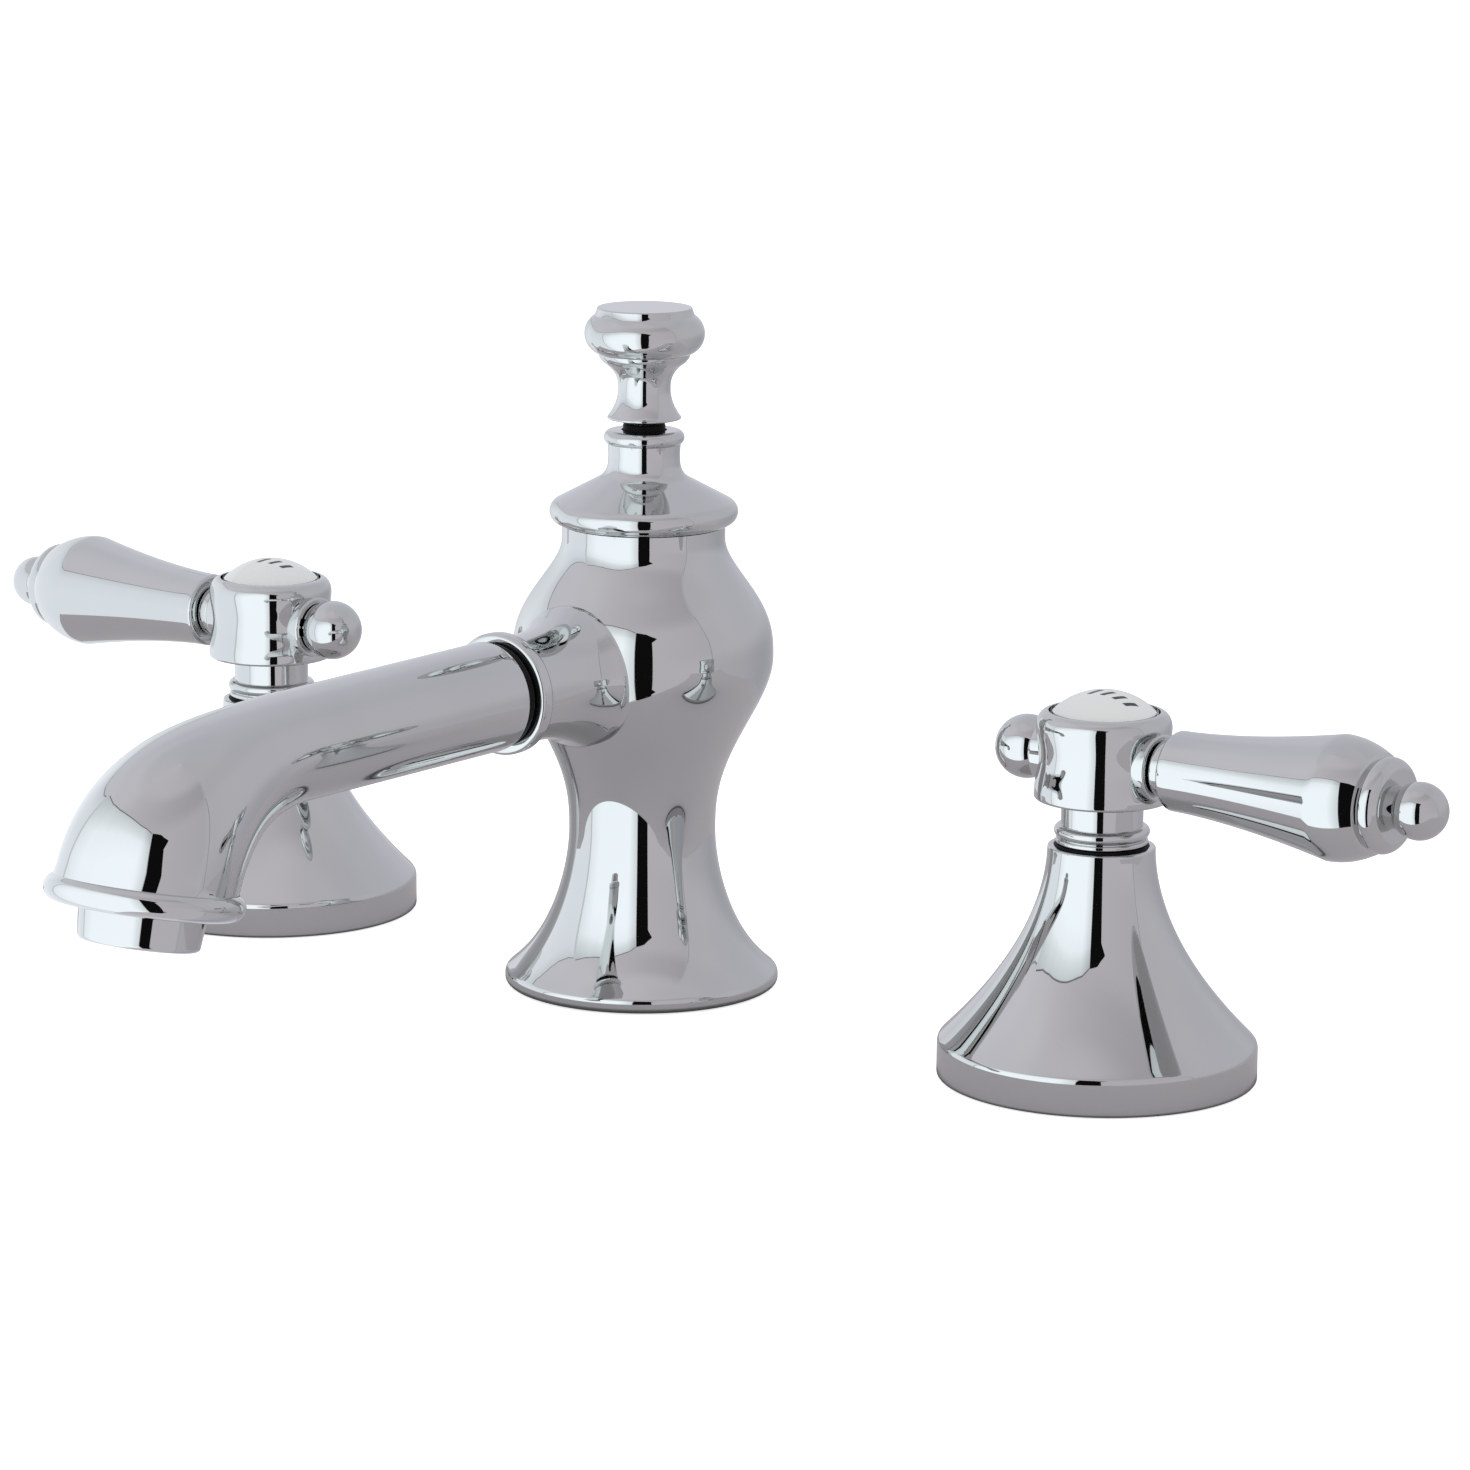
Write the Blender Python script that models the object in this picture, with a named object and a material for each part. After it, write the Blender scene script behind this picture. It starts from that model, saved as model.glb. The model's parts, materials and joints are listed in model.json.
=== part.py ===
"""Widespread bathroom faucet: a spout with a lift rod, between two quarter-turn lever valves.

Metres, +Z up. Z = 0 is the top of the deck and the Z axis is the axis of the spout's body.
The spout reaches along -Y. The hot valve stands at -X and the cold valve at +X.
"""

import math

import bmesh
import bpy
from mathutils import Matrix, Vector

# Arrangement on the deck
HANDLE_CENTRES = 0.2032
SPOUT_OFFSET = 0.005  # the spout stands this much nearer the hot valve than midway
DECK_THICKNESS = 0.020

# Fits
SEAT_GAP = 0.0003  # between pieces that seat on each other
CUT_OVERRUN = 0.001  # how far a cutter runs past the face it opens

# Sides of turned pieces, by how wide they are and how much of them shows
WIDE_SIDES = 20
SHOWN_SIDES = 16
HIDDEN_SIDES = 10
HOLE_SIDES = 8
OFF_CORNERS = math.tau / HIDDEN_SIDES / 3  # turns a boss so that no corner meets its drill's

# Spout body, a hollow vase
FOOT_RADIUS = 0.0264
FOOT_HEIGHT = 0.0034
FOOT_EDGE = 0.0006
FOOT_RIM_WIDTH = 0.0044
WAIST_HEIGHT = 0.0305
BULB_RADIUS = 0.0250
BULB_HEIGHT = 0.0643
NECK_RADIUS = 0.0156
BODY_HEIGHT = 0.0886
BODY_WALL = 0.0022
FLOOR_RECESS = 0.0020
FLOOR_HEIGHT = 0.0080
FOOT_FLARE_POWER = 2.1
BULB_SWELL_POWER = 1.3
NECK_EASE_POWER = 1.25

# Lid on the body
LID_OVERHANG = 0.0024
LID_RIM_HEIGHT = 0.0048
LID_RIM_ROUND = 0.0022
LID_NECK_RADIUS = 0.0068
LID_NECK_RISE = 0.0144  # from the lid's foot to its narrowest place
LID_BEAD_RADIUS = 0.00775
LID_BEAD_ROUND = 0.0011
LID_BEAD_RISE = 0.0046  # from the narrowest place to the top
LID_SPIGOT_DEPTH = 0.0044
LID_SPIGOT_WALL = 0.0022
LID_ROOF = 0.0040
LID_FLARE_POWER = 0.68

# Bush in the lid
BUSH_RADIUS = 0.00405
BUSH_LENGTH = 0.0065
BUSH_STANDS_PROUD = 0.0013

# Lift rod and its knob
ROD_RADIUS = 0.0022
ROD_BELOW_DECK = 0.095
ROD_RUNNING_GAP = 0.0004
KNOB_GAP = 0.0004  # between the knob's skirt and the bush when the rod is down
KNOB_SKIRT_RADIUS = 0.00705
KNOB_SKIRT_HEIGHT = 0.0012
KNOB_NECK_RADIUS = 0.0050
KNOB_NECK_RISE = 0.0062
KNOB_FLARE_RISE = 0.01255
KNOB_FLARE_INSET = 0.00325  # the flare's edge lies this far inside the bulge
KNOB_BULGE_RADIUS = 0.01145
KNOB_BULGE_ROUND = 0.00415
KNOB_TOP_INSET = 0.00265
KNOB_TOP_HEIGHT = 0.00085
KNOB_TOP_EDGE = 0.0003
KNOB_SOCKET_DEPTH = 0.0100
KNOB_SKIRT_POWER = 2.0
KNOB_FLARE_POWER = 2.6

# Riser pipe beside the lift rod, and the shank round both
RISER_RADIUS = 0.0033
RISER_WALL = 0.0010
RISER_BEND = 0.0080
RISER_ROD_CLEARANCE = 0.0021
RISER_WAIST_CLEARANCE = 0.0010
SHANK_CLEARANCE = 0.0009
SHANK_WALL = 0.0017
SHANK_BELOW_DECK = 0.0542
GASKET_THICKNESS = 0.0014

# Inlet tee at the foot of the riser
TEE_RADIUS = 0.0048
TEE_LENGTH = 0.050
TEE_BORE = 0.0030
TEE_BOSS_WALL = 0.0010
TEE_BOSS_HEIGHT = 0.0095
TEE_SOCKET_FLOOR = 0.0045

# Spout tube
SPOUT_DROP = 0.0010  # the spout's axis lies this far below the bulb's widest place
SPOUT_RADIUS = 0.0103
SPOUT_SLIM_RADIUS = 0.0101
SPOUT_WALL = 0.0024
SPOUT_SPIGOT_WALL = 0.0023
SPOUT_SAG = 0.0005
BEND_START = 0.0989
BEND_RUN = 0.0384
BEND_DROP = 0.0203
BEND_LEAD = 0.0145
OUTLET_LEAD = 0.0155
OUTLET_TILT = math.radians(12)
OUTLET_RADIUS = 0.0161
OUTLET_SWELL_POWER = 1.9
LIP_OVERHANG = 0.0016
LIP_ROUND = 0.0024
AERATOR_BORE_DEPTH = 0.0073

# Collar that joins the spout to the body
COLLAR_SEAT_DEPTH = 0.0033  # the flange's edge lies this far inside the bulb's radius
COLLAR_FLARE_LENGTH = 0.0168
COLLAR_BAND_LENGTH = 0.0048
COLLAR_WALL = 0.0019
COLLAR_FLANGE_WIDTH = 0.0034
COLLAR_RING_RISE = 0.0014
COLLAR_RING_WIDTH = 0.0032
COLLAR_RING_ROUND = 0.0009
COLLAR_SPIGOT_RADIUS = 0.0083
COLLAR_SPIGOT_DEPTH = 0.0065
COLLAR_SPIGOT_LENGTH = 0.0115
COLLAR_SOCKET_DEPTH = 0.0134
COLLAR_BORE_RADIUS = 0.0060
COLLAR_FLARE_POWER = 1.8
RISER_SOCKET_DEPTH = 0.0053

# Seal between the collar and the spout
SEAL_INSET = 0.0005
SEAL_WIDTH = 0.0018

# Aerator, measured along the outlet from the middle of the lip
AERATOR_RADIUS = 0.0113
AERATOR_TAPER = 0.0005
AERATOR_END = 0.0085
AERATOR_END_ROUND = 0.0009
AERATOR_WALL = 0.0013
AERATOR_MOUTH_INSET = 0.0025
AERATOR_MOUTH_LIP = 0.0008
AERATOR_WASHER_THICKNESS = 0.0015
AERATOR_WASHER_WIDTH = 0.0033
INSERT_THICKNESS = 0.0050
INSERT_HOLE_RADIUS = 0.0013
INSERT_HOLE_CIRCLE = 0.0055
INSERT_HOLES = 6

# Washers and nuts that clamp the spout and the valves to the deck
RUBBER_WASHER_THICKNESS = 0.0030
RUBBER_WASHER_WIDTH = 0.0088
METAL_WASHER_THICKNESS = 0.0015
METAL_WASHER_WIDTH = 0.0078
MOUNTING_NUT_HEIGHT = 0.0080
MOUNTING_NUT_WIDTH = 0.0053  # from the thread to the corners
LOCKNUT_HEIGHT = 0.0050
LOCKNUT_WIDTH = 0.0045

# Ceramic cartridge
DISC_RADIUS = 0.0065
DISC_THICKNESS = 0.0026
DISC_CLEARANCE = 0.0004
DISC_PORT_RADIUS = 0.0017
DISC_PORT_OFFSET = 0.0034
SEAT_SEAL_INSET = 0.0007
SEAT_SEAL_THICKNESS = 0.0022
CARTRIDGE_WALL = 0.0011
CARTRIDGE_CLEARANCE = 0.0012
CARTRIDGE_FLANGE_INSET = 0.0004
CARTRIDGE_FLANGE_THICKNESS = 0.0018
CARTRIDGE_NECK_WALL = 0.0017
CARTRIDGE_NECK_HEIGHT = 0.0099
WINDOW_WIDTH = 0.0060
WINDOW_HEIGHT = 0.0030
STEM_RADIUS = 0.0040
STEM_FOOT_THICKNESS = 0.0030
BONNET_SKIRT_WALL = 0.0022
BONNET_SKIRT_DEPTH = 0.0055
BONNET_SHOULDER = 0.0035
BONNET_CROWN_WALL = 0.0032
BONNET_CROWN = 0.0048
BONNET_CLEARANCE = 0.0009  # between the bonnet nut and the locknut

# Valve body
CAVITY_DEPTH = 0.0110
BARREL_WALL = 0.0040
BARREL_SPARE = 0.0056  # thread left below the mounting nut
BLOCK_RADIUS = 0.0160
BLOCK_HEIGHT = 0.0190
INLET_RADIUS = 0.0104
INLET_LENGTH = 0.0180
INLET_BORE = 0.0040
OUTLET_PORT_RADIUS = 0.0075
OUTLET_PORT_DROP = 0.0095  # from the block's top to the port's axis
OUTLET_PORT_LENGTH = 0.0120
OUTLET_PORT_BORE = 0.0035
OUTLET_CHANNEL_RADIUS = 0.0014
OUTLET_CHANNEL_CLEARANCE = 0.0004

# Handle collar between the bell and the hub
COLLAR_SLEEVE_WALL = 0.0017
COLLAR_SLEEVE_DEPTH = 0.0035
COLLAR_BEAD_RADIUS = 0.0087
COLLAR_BEAD_ROUND = 0.0010
HANDLE_NECK_RADIUS = 0.00745
HANDLE_NECK_HEIGHT = 0.0052
HANDLE_SPIGOT_INSET = 0.00125
HANDLE_SPIGOT_LENGTH = 0.0024

# Escutcheon, the bell over each valve
BELL_RADIUS = 0.0292
BELL_EDGE = 0.0005
BELL_WALL_HEIGHT = 0.0066
BELL_SHOULDER = 0.0007
BELL_TOP_RIM = 0.0011
BELL_HEIGHT = 0.0431
BELL_SHELL = 0.0022
BELL_MOUTH_CLEARANCE = 0.0005
BELL_MOUTH_THICKNESS = 0.0009
BELL_FLARE_POWER = 1.74
GLIDE_RING_WIDTH = 0.0021
GLIDE_RING_STANDS_PROUD = 0.0008
GLIDE_RING_SEAT_DEPTH = 0.0018

# Index button, screw and the pieces screwed into the hub
BUTTON_RADIUS = 0.00965
BUTTON_EDGE = 0.0005
BUTTON_RISE = 0.0046
BUTTON_PLUG_DEPTH = 0.0014
SCREW_RADIUS = 0.0020
SCREW_HEAD_RADIUS = 0.0040
SCREW_HEAD_HEIGHT = 0.0030
SCREW_LENGTH = 0.0130
SCREW_KEY_WALL = 0.0020
SCREW_KEY_DEPTH = 0.0016
SCREW_HOLE_SPARE = 0.0012
STUD_RADIUS = 0.0030
STUD_BACK_WALL = 0.0010
FERRULE_WALL = 0.0020
FERRULE_LENGTH = 0.0025
FERRULE_EDGE = 0.0005

# Hub
HUB_RIM_WIDTH = 0.00035
HUB_SHOULDER_WIDTH = 0.0020
HUB_FLANGE_WIDTH = 0.0002
HUB_WAIST_DEPTH = 0.0008
HUB_EDGE = 0.0005
HUB_FLANGE_HEIGHT = 0.0012
LEVER_RISE = 0.0073  # from the hub's foot to the lever's axis
HUB_SHOULDER_RISE = 0.0060  # from the lever's axis
HUB_ROUND_HEIGHT = 0.0028
HUB_ROUND_STEPS = 2
HUB_BOSS_WALL = 0.0028
HUB_BOSS_LENGTH = 0.0009  # beyond the waist
HUB_BOSS_ROOT = 0.0032
HUB_BOSS_EDGE = 0.0004
SOCKET_ROOF_DROP = 0.0030
SCREW_SEAT_RISE = 0.0020
BUTTON_SEAT_DEPTH = 0.0015

# Lever, from the ferrule outward
GRIP_START_INSET = 0.0007
GRIP_EDGE = 0.0007
GRIP_SLIM_RADIUS = 0.0073
GRIP_FULL_RADIUS = 0.0113
GRIP_SWELL_LENGTH = 0.0340
GRIP_SHOULDER_LENGTH = 0.0080
GRIP_END_RADIUS = 0.0091
GRIP_GROWTH_POWER = 1.65
LEVER_BEAD_RADIUS = 0.0086
LEVER_BEAD_ROUND = 0.0023
LEVER_BEAD_OFFSET = 0.0017
LEVER_NECK_RADIUS = 0.0038
LEVER_NECK_LENGTH = 0.0009
TIP_BALL_RADIUS = 0.00515

# Ball opposite the lever
BALL_RADIUS = 0.0059
BALL_NECK_RADIUS = 0.0048
BALL_NECK_LENGTH = 0.0004

# Places worked out from the sizes above
HOT_X = SPOUT_OFFSET - HANDLE_CENTRES / 2
COLD_X = SPOUT_OFFSET + HANDLE_CENTRES / 2
RISER_OFFSET = ROD_RADIUS + RISER_ROD_CLEARANCE + RISER_RADIUS
RISER_FAR_SIDE = RISER_OFFSET + RISER_RADIUS
WAIST_RADIUS = RISER_FAR_SIDE + RISER_WAIST_CLEARANCE + BODY_WALL
SHANK_RADIUS = RISER_FAR_SIDE + SHANK_CLEARANCE + SHANK_WALL
TEE_DEPTH = SHANK_BELOW_DECK + SEAT_GAP + TEE_BOSS_HEIGHT
FOOT_RECESS_RADIUS = FOOT_RADIUS - FOOT_RIM_WIDTH
LID_RIM_RADIUS = NECK_RADIUS + LID_OVERHANG
LID_FOOT = BODY_HEIGHT + SEAT_GAP
LID_TOP = LID_FOOT + LID_NECK_RISE + LID_BEAD_RISE
BUSH_TOP = LID_TOP + BUSH_STANDS_PROUD
KNOB_FOOT = BUSH_TOP + KNOB_GAP
SPOUT_HEIGHT = BULB_HEIGHT - SPOUT_DROP
SPOUT_SPIGOT_RADIUS = SPOUT_RADIUS - SPOUT_WALL
COLLAR_SOCKET_RADIUS = SPOUT_SPIGOT_RADIUS + SEAT_GAP
COLLAR_NECK_RADIUS = COLLAR_SOCKET_RADIUS + COLLAR_WALL
COLLAR_FLANGE_REACH = BULB_RADIUS - COLLAR_SEAT_DEPTH
COLLAR_NECK_REACH = COLLAR_FLANGE_REACH + COLLAR_FLARE_LENGTH
COLLAR_REACH = COLLAR_NECK_REACH + COLLAR_BAND_LENGTH
COLLAR_SPIGOT_START = BULB_RADIUS - COLLAR_SPIGOT_DEPTH
RISER_SEAT_REACH = COLLAR_SPIGOT_START + RISER_SOCKET_DEPTH
SEAL_START = COLLAR_REACH + SEAT_GAP
SPOUT_START = SEAL_START + SEAL_WIDTH + SEAT_GAP
BEND_HEIGHT = SPOUT_HEIGHT - SPOUT_SAG
OUTLET_REACH = BEND_START + BEND_RUN
OUTLET_HEIGHT = BEND_HEIGHT - BEND_DROP
LIP_RADIUS = OUTLET_RADIUS + LIP_OVERHANG
DISC_BORE = DISC_RADIUS + DISC_CLEARANCE
CARTRIDGE_RADIUS = DISC_BORE + CARTRIDGE_WALL
CAVITY_RADIUS = CARTRIDGE_RADIUS + CARTRIDGE_CLEARANCE
BARREL_RADIUS = CAVITY_RADIUS + BARREL_WALL
NUT_TOP_DEPTH = DECK_THICKNESS + RUBBER_WASHER_THICKNESS + METAL_WASHER_THICKNESS + SEAT_GAP * 3
BARREL_DEPTH = NUT_TOP_DEPTH + MOUNTING_NUT_HEIGHT + BARREL_SPARE
BLOCK_DEPTH = BARREL_DEPTH + BLOCK_HEIGHT
INLET_DEPTH = BLOCK_DEPTH + INLET_LENGTH
OUTLET_PORT_DEPTH = BARREL_DEPTH + OUTLET_PORT_DROP
LOCKNUT_TOP = SEAT_GAP + LOCKNUT_HEIGHT
BARREL_TOP = LOCKNUT_TOP + BONNET_CLEARANCE + BONNET_SKIRT_DEPTH
SEAT_SEAL_RADIUS = DISC_RADIUS - SEAT_SEAL_INSET
OUTLET_CHANNEL_OFFSET = SEAT_SEAL_RADIUS + OUTLET_CHANNEL_CLEARANCE + OUTLET_CHANNEL_RADIUS
STEM_BORE = STEM_RADIUS + SEAT_GAP
FIXED_DISC_FOOT = SEAT_SEAL_THICKNESS + SEAT_GAP * 2 - CAVITY_DEPTH
MOVING_DISC_FOOT = FIXED_DISC_FOOT + DISC_THICKNESS + SEAT_GAP
STEM_FOOT = MOVING_DISC_FOOT + DISC_THICKNESS + SEAT_GAP
STEM_FOOT_TOP = STEM_FOOT + STEM_FOOT_THICKNESS
COLLAR_SLEEVE_RADIUS = STEM_BORE + COLLAR_SLEEVE_WALL
GLIDE_RING_RADIUS = COLLAR_SLEEVE_RADIUS + SEAT_GAP + GLIDE_RING_WIDTH
GLIDE_RING_SEAT = BELL_HEIGHT - GLIDE_RING_SEAT_DEPTH
GLIDE_RING_TOP = BELL_HEIGHT + GLIDE_RING_STANDS_PROUD
BELL_TOP_RADIUS = GLIDE_RING_RADIUS + SEAT_GAP + BELL_TOP_RIM
COLLAR_FOOT = GLIDE_RING_TOP + SEAT_GAP
HANDLE_NECK_TOP = COLLAR_FOOT + COLLAR_BEAD_ROUND * 2 + HANDLE_NECK_HEIGHT
HANDLE_SPIGOT_RADIUS = HANDLE_NECK_RADIUS - HANDLE_SPIGOT_INSET
HUB_FOOT = HANDLE_NECK_TOP + SEAT_GAP
HUB_RECESS_TOP = HANDLE_NECK_TOP + HANDLE_SPIGOT_LENGTH + SEAT_GAP
HUB_RIM_RADIUS = BUTTON_RADIUS + SEAT_GAP + HUB_RIM_WIDTH
HUB_SHOULDER_RADIUS = HUB_RIM_RADIUS + HUB_SHOULDER_WIDTH
HUB_RADIUS = HUB_SHOULDER_RADIUS + HUB_FLANGE_WIDTH
HUB_WAIST_RADIUS = HUB_RADIUS - HUB_WAIST_DEPTH
LEVER_HEIGHT = HUB_FOOT + LEVER_RISE
HUB_SHOULDER_HEIGHT = LEVER_HEIGHT + HUB_SHOULDER_RISE
HUB_HEIGHT = HUB_SHOULDER_HEIGHT + HUB_ROUND_HEIGHT
HUB_BOSS_REACH = HUB_WAIST_RADIUS + HUB_BOSS_LENGTH
SOCKET_ROOF = LEVER_HEIGHT - SOCKET_ROOF_DROP
STEM_TOP = SOCKET_ROOF - SEAT_GAP
SCREW_SEAT = LEVER_HEIGHT + SCREW_SEAT_RISE
BUTTON_SEAT = HUB_HEIGHT - BUTTON_SEAT_DEPTH
HEAD_HOLE_RADIUS = SCREW_HEAD_RADIUS + SEAT_GAP * 2
BUTTON_PLUG_RADIUS = HEAD_HOLE_RADIUS - SEAT_GAP
STUD_HOLE_RADIUS = STUD_RADIUS + SEAT_GAP
STUD_HOLE_START = HEAD_HOLE_RADIUS + STUD_BACK_WALL
STUD_START = STUD_HOLE_START + SEAT_GAP
FERRULE_START = HUB_BOSS_REACH + SEAT_GAP
GRIP_START = FERRULE_START + FERRULE_LENGTH + SEAT_GAP
GRIP_FULL_REACH = GRIP_START + GRIP_SWELL_LENGTH
GRIP_END_REACH = GRIP_FULL_REACH + GRIP_SHOULDER_LENGTH
LEVER_BEAD_REACH = GRIP_END_REACH + LEVER_BEAD_OFFSET


def clear_scene():
    for old in list(bpy.data.objects):
        bpy.data.objects.remove(old)


def finish(name, colour, metallic, roughness):
    made = bpy.data.materials.new(name)
    made.use_nodes = True
    shader = made.node_tree.nodes["Principled BSDF"]
    shader.inputs["Base Color"].default_value = (*colour, 1)
    shader.inputs["Metallic"].default_value = metallic
    shader.inputs["Roughness"].default_value = roughness
    return made


def smooth(t):
    return t * t * (3 - 2 * t)


def eased(start, end, steps, share_at):
    """Points after start up to end: heights in equal steps, radii by the curve share_at."""
    points = []
    for step in range(1, steps + 1):
        t = step / steps
        share = share_at(t)
        radius = start[0] + (end[0] - start[0]) * share
        points.append((radius, start[1] + (end[1] - start[1]) * t))
    return points


def arc(radius, height, bend, first, last, steps):
    """Points of an arc of radius bend about (radius, height), its angles in degrees."""
    points = []
    for step in range(steps + 1):
        angle = math.radians(first + (last - first) * step / steps)
        points.append((radius + bend * math.cos(angle), height + bend * math.sin(angle)))
    return points


def as_object(name, mesh_builder, material):
    mesh = bpy.data.meshes.new(name)
    bmesh.ops.recalc_face_normals(mesh_builder, faces=mesh_builder.faces)
    mesh_builder.to_mesh(mesh)
    mesh_builder.free()
    mesh.shade_smooth()
    mesh.set_sharp_from_angle(angle=math.radians(35))
    if material:
        mesh.materials.append(material)
    made = bpy.data.objects.new(name, mesh)
    bpy.context.collection.objects.link(made)
    return made


def turned(name, outline, sides, material=None, start=0):
    """Spins an outline of (radius, height) points round Z. It is closed, or ends on the axis."""
    builder = bmesh.new()
    spoke = Vector((math.cos(start), math.sin(start), 0))
    rise = Vector((0, 0, 1))
    points = [builder.verts.new(spoke * radius + rise * height) for radius, height in outline]
    edges = [builder.edges.new(pair) for pair in zip(points, points[1:])]
    if outline[0][0] > 0 or outline[-1][0] > 0:
        edges.append(builder.edges.new((points[-1], points[0])))
    bmesh.ops.spin(
        builder, geom=points + edges, axis=(0, 0, 1), cent=(0, 0, 0),
        angle=2 * math.pi, steps=sides, use_merge=True,
    )
    bmesh.ops.remove_doubles(builder, verts=builder.verts, dist=SEAT_GAP / 100)
    return as_object(name, builder, material)


def ring_outline(bore, radius, foot, top):
    return [(bore, foot), (radius, foot), (radius, top), (bore, top)]


def lofted(name, rings, sides, material):
    """Joins rings of (centre, direction, radius) in the YZ plane into one closed wall."""
    builder = bmesh.new()
    loops = []
    for centre, direction, radius in rings:
        across = Vector((1, 0, 0))
        upward = direction.cross(across)
        loop = []
        for side in range(sides):
            angle = 2 * math.pi * side / sides
            spoke = across * math.cos(angle) + upward * math.sin(angle)
            loop.append(builder.verts.new(centre + spoke * radius))
        loops.append(loop)
    for loop, following in zip(loops, loops[1:] + loops[:1]):
        for side in range(sides):
            beside = (side + 1) % sides
            builder.faces.new((loop[side], loop[beside], following[beside], following[side]))
    return as_object(name, builder, material)


def hexagon(name, across, foot, top):
    """A prism with six sides, across its corners."""
    builder = bmesh.new()
    bmesh.ops.create_cone(
        builder, cap_ends=True, segments=6, radius1=across / 2, radius2=across / 2,
        depth=top - foot, matrix=Matrix.Translation((0, 0, (foot + top) / 2)),
    )
    return as_object(name, builder, None)


def place(made, parent, location=(0, 0, 0), rotation=(0, 0, 0)):
    made.parent = parent
    made.location = location
    made.rotation_euler = rotation
    return made


def shape_with(made, tool, operation):
    """Adds a Boolean with a tool that is itself left out of the model."""
    modifier = made.modifiers.new(operation.lower(), "BOOLEAN")
    modifier.operation = operation
    modifier.object = tool
    tool.hide_render = True
    tool.display_type = "WIRE"


def axis_empty(name, location):
    made = bpy.data.objects.new(name, None)
    made.location = location
    bpy.context.collection.objects.link(made)
    return made


def body_curve(offset, steps):
    """The vase's side from the top of its foot to its neck, moved outward by offset."""
    foot = (FOOT_RADIUS - FOOT_EDGE, FOOT_HEIGHT)
    waist = (WAIST_RADIUS, WAIST_HEIGHT)
    bulb = (BULB_RADIUS, BULB_HEIGHT)
    neck = (NECK_RADIUS, BODY_HEIGHT)
    side = [foot]
    side += eased(foot, waist, steps, lambda t: 1 - (1 - t) ** FOOT_FLARE_POWER)
    side += eased(waist, bulb, steps, lambda t: smooth(t**BULB_SWELL_POWER))
    side += eased(bulb, neck, steps, lambda t: smooth(t**NECK_EASE_POWER))
    return [(radius + offset, height) for radius, height in side]


def spout_body(axis, chrome):
    outer = [(FOOT_RADIUS - FOOT_EDGE, 0), (FOOT_RADIUS, FOOT_EDGE)]
    outer += [(FOOT_RADIUS, FOOT_HEIGHT - FOOT_EDGE)] + body_curve(0, 5)
    shank_hole = SHANK_RADIUS + SEAT_GAP
    inner = [point for point in body_curve(-BODY_WALL, 3) if point[1] > FLOOR_HEIGHT]
    inner.reverse()
    floor = [
        (inner[-1][0], FLOOR_HEIGHT),
        (shank_hole, FLOOR_HEIGHT),
        (shank_hole, FLOOR_RECESS),
        (FOOT_RECESS_RADIUS, FLOOR_RECESS),
        (FOOT_RECESS_RADIUS, 0),
    ]
    body = place(turned("spout_body", outer + inner + floor, WIDE_SIDES, chrome), axis)
    hole = ring_outline(
        0, COLLAR_SPIGOT_RADIUS + SEAT_GAP, COLLAR_SPIGOT_START - BODY_WALL, BULB_RADIUS + CUT_OVERRUN
    )
    cutter = turned("spout_hole", hole, HIDDEN_SIDES)
    shape_with(body, place(cutter, axis, (0, 0, SPOUT_HEIGHT), (math.pi / 2, 0, 0)), "DIFFERENCE")


def body_lid(axis, chrome):
    rim = (LID_RIM_RADIUS - LID_RIM_ROUND, LID_FOOT + LID_RIM_ROUND)
    shoulder = (LID_RIM_RADIUS, LID_FOOT + LID_RIM_HEIGHT)
    neck = (LID_NECK_RADIUS, LID_FOOT + LID_NECK_RISE)
    outline = [(NECK_RADIUS, LID_FOOT)]
    outline += arc(*rim, LID_RIM_ROUND, -60, 0, 1)
    outline += [shoulder]
    outline += eased(shoulder, neck, 5, lambda t: smooth(t**LID_FLARE_POWER))
    bead = (LID_BEAD_RADIUS - LID_BEAD_ROUND, LID_TOP - LID_BEAD_ROUND)
    outline += arc(*bead, LID_BEAD_ROUND, -60, 90, 3)
    bush_hole = BUSH_RADIUS + SEAT_GAP
    bush_seat = BUSH_TOP - BUSH_LENGTH - SEAT_GAP
    rod_hole = ROD_RADIUS + ROD_RUNNING_GAP
    spigot = NECK_RADIUS - BODY_WALL - SEAT_GAP
    hollow = spigot - LID_SPIGOT_WALL
    outline += [
        (bush_hole, LID_TOP),
        (bush_hole, bush_seat),
        (rod_hole, bush_seat),
        (rod_hole, bush_seat - LID_ROOF),
        (hollow, LID_FOOT + LID_ROOF),
        (hollow, LID_FOOT - LID_SPIGOT_DEPTH),
        (spigot, LID_FOOT - LID_SPIGOT_DEPTH),
        (spigot, LID_FOOT),
    ]
    place(turned("body_lid", outline, WIDE_SIDES, chrome), axis)


def rod_bush(axis, rubber):
    outline = ring_outline(
        ROD_RADIUS + ROD_RUNNING_GAP, BUSH_RADIUS, BUSH_TOP - BUSH_LENGTH, BUSH_TOP
    )
    place(turned("rod_bush", outline, HIDDEN_SIDES, rubber), axis)


def lift_rod(axis, chrome):
    outline = ring_outline(0, ROD_RADIUS, -ROD_BELOW_DECK, KNOB_FOOT + KNOB_SOCKET_DEPTH - SEAT_GAP)
    place(turned("lift_rod", outline, HIDDEN_SIDES, chrome), axis)


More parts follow.
